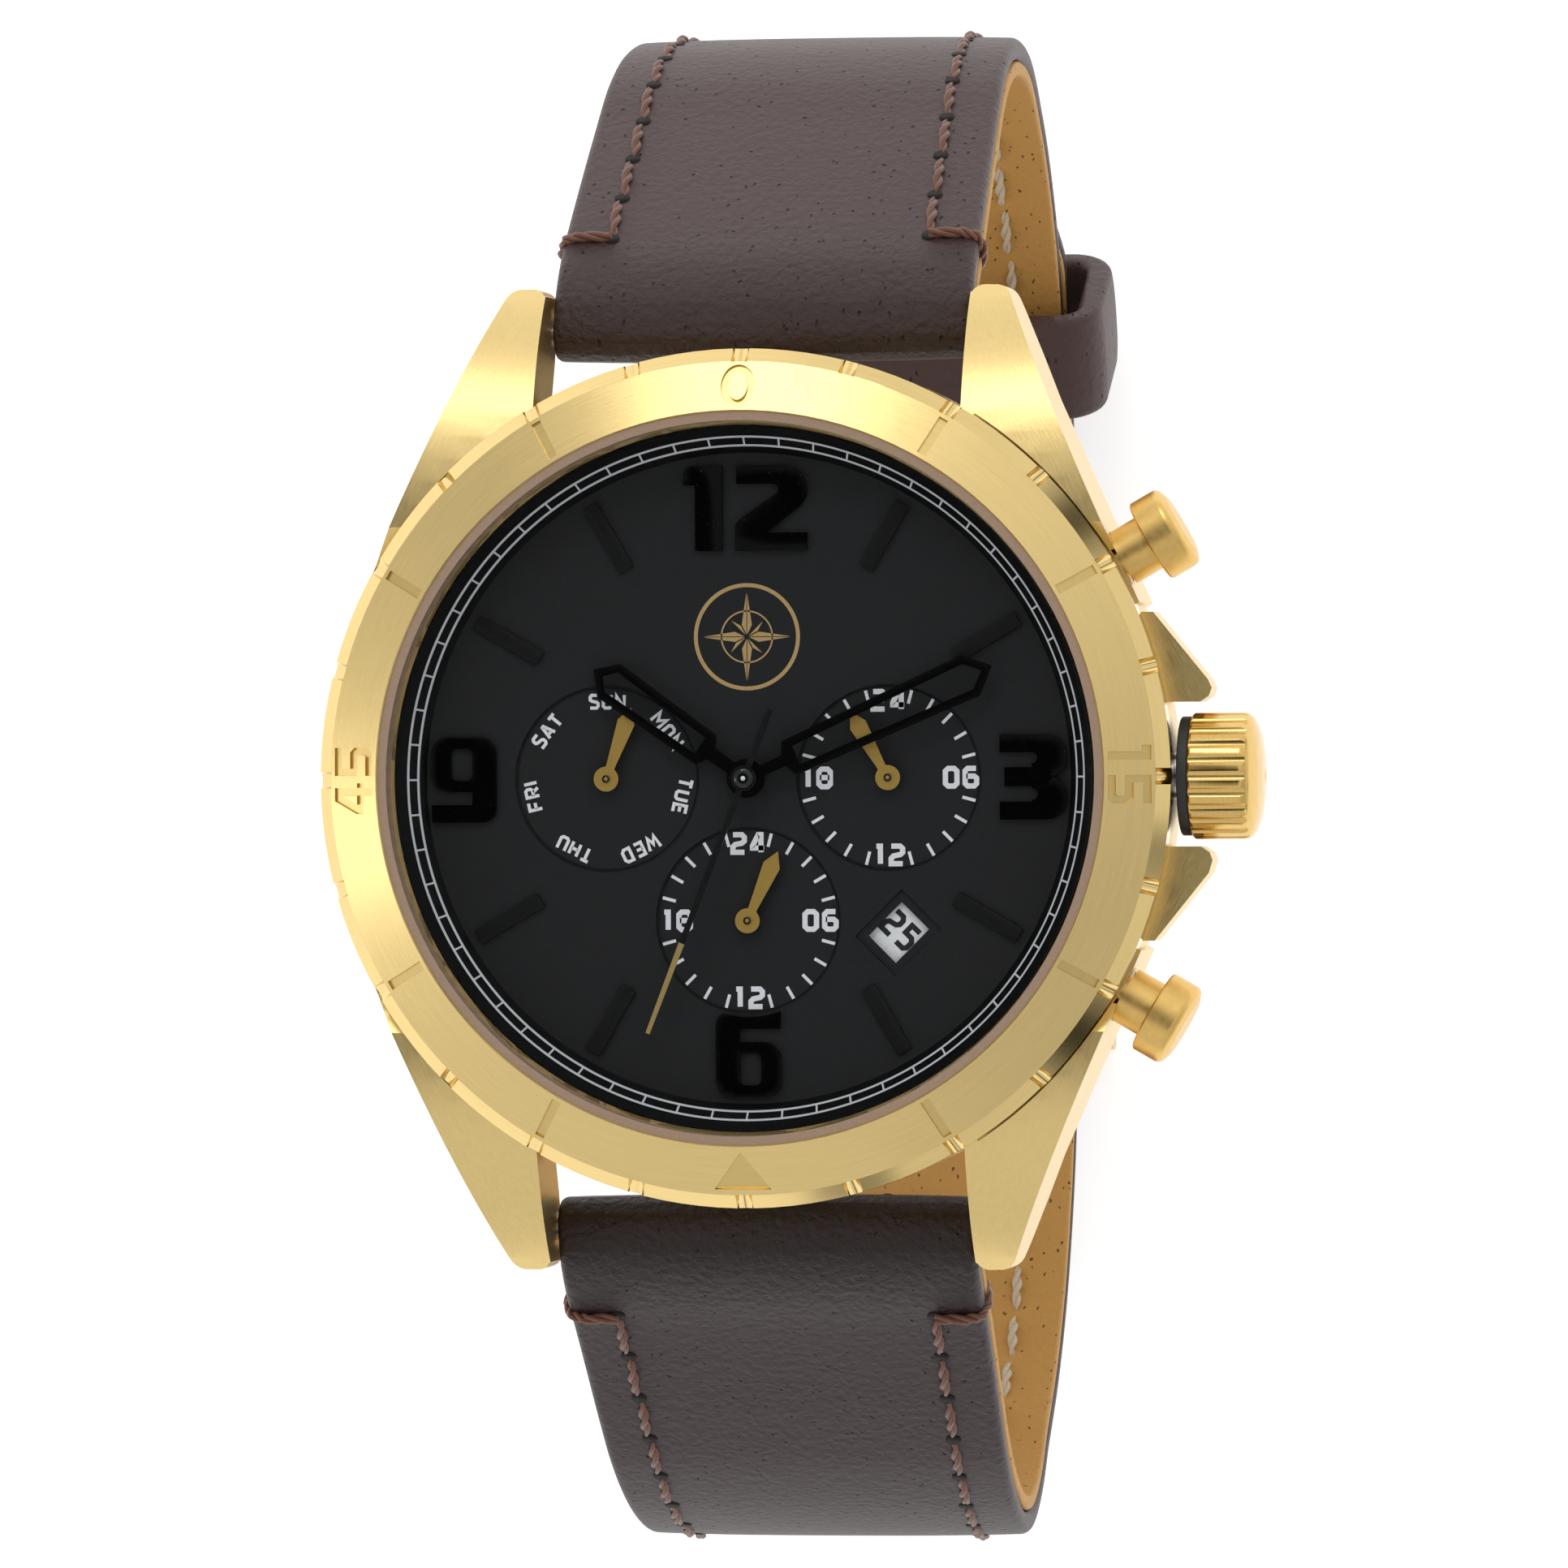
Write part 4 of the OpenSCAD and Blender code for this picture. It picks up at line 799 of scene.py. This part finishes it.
def arc_line(centre, r, a0, a1, n):
    return [Vector((centre[0] + r * math.cos(math.radians(a0 + (a1 - a0) * i / n)),
                    centre[1] + r * math.sin(math.radians(a0 + (a1 - a0) * i / n)))) for i in range(n + 1)]


def strap_width(z):
    t = min(1, max(0, (-10 - z) / 34))
    return STRAP_W + (STRAP_END_W - STRAP_W) * t


def inward(line, i, side):
    """Unit normal in Y and Z that points from the outside of the loop to its inside."""
    v = (line[min(i + 1, len(line) - 1)] - line[max(i - 1, 0)]).normalized()
    return Vector((-v.y, v.x)) * side


def band_section(width, top, bottom, crown, round_r, shrink=0.0, across=16, corner=5):
    """One cross-section of a leather band: (across, depth) pairs, with rounded edges and a crowned face."""
    half = width / 2 - shrink
    depth = bottom - top
    r = min(round_r, depth * 0.48)
    section = []
    for i in range(across + 1):
        u = -1 + 2 * i / across
        section.append(((half - r) * u, top + crown * u * u * abs(u)))
    for c in range(1, corner + 1):
        a = math.pi / 2 * c / corner
        section.append((half - r + r * math.sin(a), top + crown + r * (1 - math.cos(a))))
    for c in range(corner + 1):
        a = math.pi / 2 * c / corner
        section.append((half - r + r * math.cos(a), bottom - r * (1 - math.sin(a))))
    for i in range(1, across):
        section.append(((half - r) * (1 - 2 * i / across), bottom))
    for c in range(corner + 1):
        a = math.pi / 2 * c / corner
        section.append((-half + r - r * math.sin(a), bottom - r * (1 - math.cos(a))))
    for c in range(corner):
        a = math.pi / 2 * c / corner
        section.append((-half + r - r * math.cos(a), top + crown + r * (1 - math.sin(a))))
    return section


def swept_band(name, line, side, depths, paint, body=HEAD, crown=0.12, round_r=0.5, tip=0.0, node=None):
    """A leather band along a line. depths(s) gives the outer and inner depth at a distance s along it."""
    points, s, sides = [], 0.0, 0
    total = sum((b - a).length for a, b in zip(line, line[1:]))
    for i, p in enumerate(line):
        if i:
            s += (p - line[i - 1]).length
        top, bottom = depths(s)
        shrink = 0.0
        if tip and total - s < tip:
            t = 1 - (total - s) / tip
            shrink = strap_width(p.y) / 2 * (1 - math.sqrt(max(0.0, 1 - t ** 2.2)) * 0.86) * t
        n = inward(line, i, side)
        section = band_section(strap_width(p.y), top, bottom, crown, round_r, shrink)
        sides = len(section)
        for x, d in section:
            points.append((x, p.x + n.x * d, LIFT + p.y + n.y * d))
    obj = piece(name, points, tube_faces(len(line), sides), paint, body)
    if node:
        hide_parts(node)
    return obj


def roll_thickness(s, roll_len):
    """Leather thickness at distance s: thin round the bar, then full within 3 mm."""
    t = min(1, max(0, (s - roll_len) / 3.0))
    return ROLL_T + (LEATHER_T - ROLL_T) * t * t * (3 - 2 * t)


def twisted(shape, a, b, up, phase, thickness=0.6, turns=1.4, bow=0.17, steps=12, sides=6):
    """Two strands twisted round each other from a to b, bowed up in the middle."""
    along = b - a
    way = along.normalized()
    up = (up - way * up.dot(way)).normalized()
    cross = way.cross(up)
    strand = thickness * 0.28
    for start_at in (0.0, math.pi):
        points = []
        for i in range(steps + 1):
            t = i / steps
            swell = math.sin(math.pi * t) ** 0.35 if 0 < t < 1 else 0.25
            twist = 2 * math.pi * turns * t + start_at + phase
            centre = a + along * t + up * (bow * math.sin(math.pi * t))
            centre += (up * math.cos(twist) + cross * math.sin(twist)) * strand * 0.85 * swell
            for k in range(sides):
                w = 2 * math.pi * k / sides
                points.append(centre + (up * math.cos(w) + cross * math.sin(w)) * strand * swell)
        shape.add(points, tube_faces(steps + 1, sides))


def place_on(line, side, s_all, s, x, depth):
    """Point and outward normal on the strap at distance s, offset x across and depth in."""
    k = max(0, min(len(line) - 2, next((i for i, v in enumerate(s_all) if v > s), len(line) - 1) - 1))
    t = (s - s_all[k]) / max(1e-9, s_all[k + 1] - s_all[k])
    p = line[k].lerp(line[k + 1], t)
    n = inward(line, k, side)
    return Vector((x, p.x + n.x * depth, LIFT + p.y + n.y * depth)), Vector((0, -n.x, -n.y))


def stitches(name, line, side, s0, s1, paint, slot, depth, flip, pits):
    """Two rows of stitches near the edges. flip is 1 on the outer face and -1 on the lining."""
    s_all, shape, dark = distances(line), Shape(), Shape()
    for edge in (-1, 1):
        for i in range(int((s1 - s0) / STITCH_PITCH)):
            here = s0 + i * STITCH_PITCH
            pa, na = place_on(line, side, s_all, here + STITCH_GAP, 0, depth)
            pb, nb = place_on(line, side, s_all, here + STITCH_PITCH - STITCH_GAP, 0, depth)
            wa = edge * (strap_width(pa.z - LIFT) / 2 - STITCH_IN)
            sway = random.uniform(-0.05, 0.05)
            a = Vector((wa + sway + 0.06, pa.y, pa.z))
            b = Vector((wa + sway - 0.06, pb.y, pb.z))
            up = (na + nb).normalized() * flip
            phase = random.uniform(0, 6.28)
            twisted(shape, a - up * 0.05, b - up * 0.05, up, phase)
            # each needle hole gets a dish of painted shade
            if pits:
                at, n = place_on(line, side, s_all, here, 0, depth)
                pit(dark, Vector((wa, at.y, at.z)), n * flip, 0.42)
    shape.make(name, paint, HEAD, slot)
    if pits:
        dark.make(name + "_holes", "hole", HEAD, slot)


def pit(shape, at, up, r):
    """A needle hole: a small dish set in the leather, painted near black as the shade inside the hole."""
    side = Vector((1, 0, 0))
    along = up.cross(side).normalized()
    points = [at + up * lift + (side * x + along * y) * wide
              for lift, wide in ((0.03, r), (-0.12, 0.6 * r)) for x, y in circle(10)]
    shape.add(points, tube_faces(2, 10))


def end_wrap(shape, line, side, s, depth_in):
    """The thread that runs from the first hole to the edge, round it, and back to the lining."""
    s_all = distances(line)
    out_p, up = place_on(line, side, s_all, s, 0, 0.0)
    in_p, _ = place_on(line, side, s_all, s + 0.3, 0, depth_in)
    half = strap_width(out_p.z - LIFT) / 2
    for edge in (-1, 1):
        path = [Vector((edge * (half - STITCH_IN), out_p.y, out_p.z)) + up * 0.12,
                Vector((edge * (half - 0.9), out_p.y, out_p.z)) + up * 0.14,
                Vector((edge * (half - 0.15), out_p.y, out_p.z)) - up * 0.1,
                Vector((edge * (half + 0.13), *out_p.yz.lerp(in_p.yz, 0.45))),
                Vector((edge * (half - 0.1), in_p.y, in_p.z)),
                Vector((edge * (half - 1.2), in_p.y, in_p.z)) - up * 0.12,
                Vector((edge * (half - STITCH_IN), in_p.y, in_p.z)) - up * 0.1]
        dense = [p.lerp(q, k / 6) for p, q in zip(path, path[1:]) for k in range(6)] + [path[-1]]
        for strand in range(3):
            points = []
            for i, p in enumerate(dense):
                way = (dense[min(i + 1, len(dense) - 1)] - dense[max(i - 1, 0)]).normalized()
                u = way.cross(Vector((0, up.z, -up.y))).normalized()
                v = way.cross(u)
                twist = 0.5 * i + strand * 2.094
                centre = p + (u * math.cos(twist) + v * math.sin(twist)) * 0.15
                points += [centre + (u * math.cos(w) + v * math.sin(w)) * 0.15
                           for w in (2 * math.pi * k / 6 for k in range(6))]
            shape.add(points, tube_faces(len(dense), 6))


def cut(obj, name, centre, size, tilt=0.0, sides=24):
    """Cuts a round hole, or a slot where size has three values, through a piece."""
    tool = Shape()
    if len(size) == 3:
        x, y, z = (v / 2 for v in size)
        around = ((-x, -y), (x, -y), (x, y), (-x, y))
        tool.add([(a, b, c) for c in (-z, z) for a, b in around], tube_faces(2, 4))
    else:
        r, h = size
        tool.add([(r * x, r * y, z) for z in (-h, h) for x, y in circle(sides)], tube_faces(2, sides))
    knife = bpy.data.objects.new(name, solid_mesh(name, tool.points, tool.faces))
    knife.matrix_world = Matrix.Translation(Vector(centre) * MM) @ Matrix.Rotation(math.radians(tilt), 4, "X")
    bpy.context.scene.collection.objects.link(knife)
    slice_mod = obj.modifiers.new(name, "BOOLEAN")
    slice_mod.object, slice_mod.operation, slice_mod.solver = knife, "DIFFERENCE", "EXACT"
    return knife


def settle(obj, knives):
    """Applies every modifier on obj and removes the knives."""
    graph = bpy.context.evaluated_depsgraph_get()
    graph.update()
    done = bpy.data.meshes.new_from_object(obj.evaluated_get(graph))
    obj.modifiers.clear()
    obj.data = done
    for knife in knives:
        bpy.data.objects.remove(knife)


HOLES = [(17.5, -57.5, 8), (24.4, -55.8, 26), (-25.3, -54.3, -31), (-31.2, -50.1, -41)]


def punch(obj):
    knives = [cut(obj, f"hole_{i}", (0, y, LIFT + z), (0.8, 3.0), tilt)
              for i, (y, z, tilt) in enumerate(HOLES)]
    knives.append(cut(obj, "tongue_slot", (0, -10.55, LIFT - 58.0), (1.7, 5.3, 4.0)))
    settle(obj, knives)


def make_straps():
    # upper half: round the lug bar, down the back, and round the buckle bar
    roll = arc_line((BAR_Y, BAR_Z), ROLL_R, 285, 92, 26)
    line = even_line(roll + smooth_line(UPPER_OUT, 6), LINE_STEP)
    roll_len = math.radians(190) * ROLL_R
    swept_band("strap_upper", line, -1, lambda s: (0.0, roll_thickness(s, roll_len)),
               "leather", node="strap_upper_leather")
    inner = even_line(smooth_line([LUG_START] + UPPER_OUT, 6), LINE_STEP)[4:-2]
    swept_band("strap_upper_back", inner, -1, lambda s: (LEATHER_T + 0.01, STRAP_T), "lining",
               crown=0.0, round_r=0.2, node="strap_upper_lining")
    for edge in (-1, 1):
        tab = arc_line((BUCKLE_Y, BUCKLE_Z), BUCKLE_ROLL_R, 320, 100, 24)
        buckle_tab(f"buckle_tab_{'left' if edge < 0 else 'right'}", tab, edge)
    # lower half: round the lug bar, down, and along the outside of the upper half
    roll = arc_line((-BAR_Y, BAR_Z), ROLL_R, -105, 88, 26)
    line_low = even_line(roll + smooth_line(LOWER_OUT, 6), LINE_STEP)
    low = swept_band("strap_lower", line_low, 1, lambda s: (0.0, roll_thickness(s, roll_len)),
                     "leather", tip=TIP, node="strap_lower_leather")
    inner_low = even_line(smooth_line([(-LUG_START[0], LUG_START[1])] + LOWER_OUT, 6), LINE_STEP)[4:]
    low_back = swept_band("strap_lower_back", inner_low, 1, lambda s: (LEATHER_T + 0.01, STRAP_T), "lining",
                          crown=0.0, round_r=0.2, tip=TIP, node="strap_lower_lining")
    punch(low)
    punch(low_back)
    sew(inner, -1, "upper", 56.0)
    sew(inner_low, 1, "lower", 96.0)


TAB_SECTION = ((1.2, 0.1), (1.3, 0.0), (9.8, 0.0), (9.95, 0.15), (9.95, 0.5), (9.8, 0.62), (1.3, 0.62),
               (1.2, 0.5))


def buckle_tab(name, line, edge):
    """Half of the turned end that holds the buckle's bar, beside the tongue."""
    points = []
    for i, p in enumerate(line):
        n = (Vector((BUCKLE_Y, BUCKLE_Z)) - p).normalized()
        for x, d in TAB_SECTION:
            points.append((edge * x, p.x + n.x * d, LIFT + p.y + n.y * d))
    piece(name, points, tube_faces(len(line), len(TAB_SECTION)), "leather", HEAD)


def sew(line, side, which, reach):
    """Brown stitches outside and cream ones on the lining, from below the lug to the given reach."""
    s_all = distances(line)
    first = next(i for i, p in enumerate(line) if abs(p.x) > 28.0 and p.y > -20)
    s0 = s_all[first]
    s1 = min(reach, s_all[-1] - 5)
    stitches(f"stitches_{which}", line, side, s0, s1, "thread", "leather_brown", 0.05, 1, True)
    stitches(f"stitches_{which}_back", line, side, s0, s1, "cream", "lining_tan", STRAP_T, -1, False)
    wraps = Shape()
    end_wrap(wraps, line, side, s0, STRAP_T)
    wraps.make(f"thread_end_{which}", "thread", HEAD, "leather_brown")


KEEPER_WALL = 1.5


def rounded_loop(name, body, centre, tilt, half_x, z0, z1, length, node):
    """A leather keeper: a flat band bent into a rounded rectangle round both straps."""
    r = 1.0
    corners = [((half_x - r, z1 - r), 0), ((-half_x + r, z1 - r), 90), ((-half_x + r, z0 + r), 180),
               ((half_x - r, z0 + r), 270)]
    path = []
    for (cx, cz), a0 in corners:
        for k in range(9):
            a = math.radians(a0 + 90 * k / 8)
            path.append((cx + r * math.cos(a), cz + r * math.sin(a), math.cos(a), math.sin(a)))
    section = band_section(length, 0.0, KEEPER_WALL, 0.1, 0.45, across=8, corner=4)
    turn = Matrix.Rotation(math.radians(tilt), 4, "X")
    points = []
    for x, z, nx, nz in path:
        for y, d in section:
            out = KEEPER_WALL - d
            p = turn @ Vector((x + nx * out, y, z + nz * out))
            points.append((centre[0] + p.x, centre[1] + p.y, centre[2] + p.z))
    n, m = len(path), len(section)
    faces = [(i * m + k, i * m + (k + 1) % m, ((i + 1) % n) * m + (k + 1) % m, ((i + 1) % n) * m + k)
             for i in range(n) for k in range(m)]
    obj = piece(name, points, faces, "leather", body)
    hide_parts(node)


def make_keepers():
    half = STRAP_END_W / 2
    rounded_loop("keeper_by_buckle", HEAD, (0, 3, LIFT), 0, half + 0.25, -59.4, -54.35, 8, "keeper_fixed")
    rounded_loop("keeper_loose", "keeper_free", (0, 25.8, LIFT - 56.4), 26.5, half + 1.1, -0.5, 6.4, 6,
                 "keeper_free")


paint_nodes()
for part, width in (("buckle_frame", 0.3), ("buckle_tongue", 0.15), ("applied_numerals", 0.08),
                    ("applied_markers", 0.05), ("crown_ring", 0.1), ("hour_hand", 0.03),
                    ("minute_hand", 0.03), ("crown", 0.08)):
    bevel(part, width)
soften("case_middle")
minute_track()
sub_dials()
date_numbers()
compass_badge()
hand_pins()
make_straps()
make_keepers()
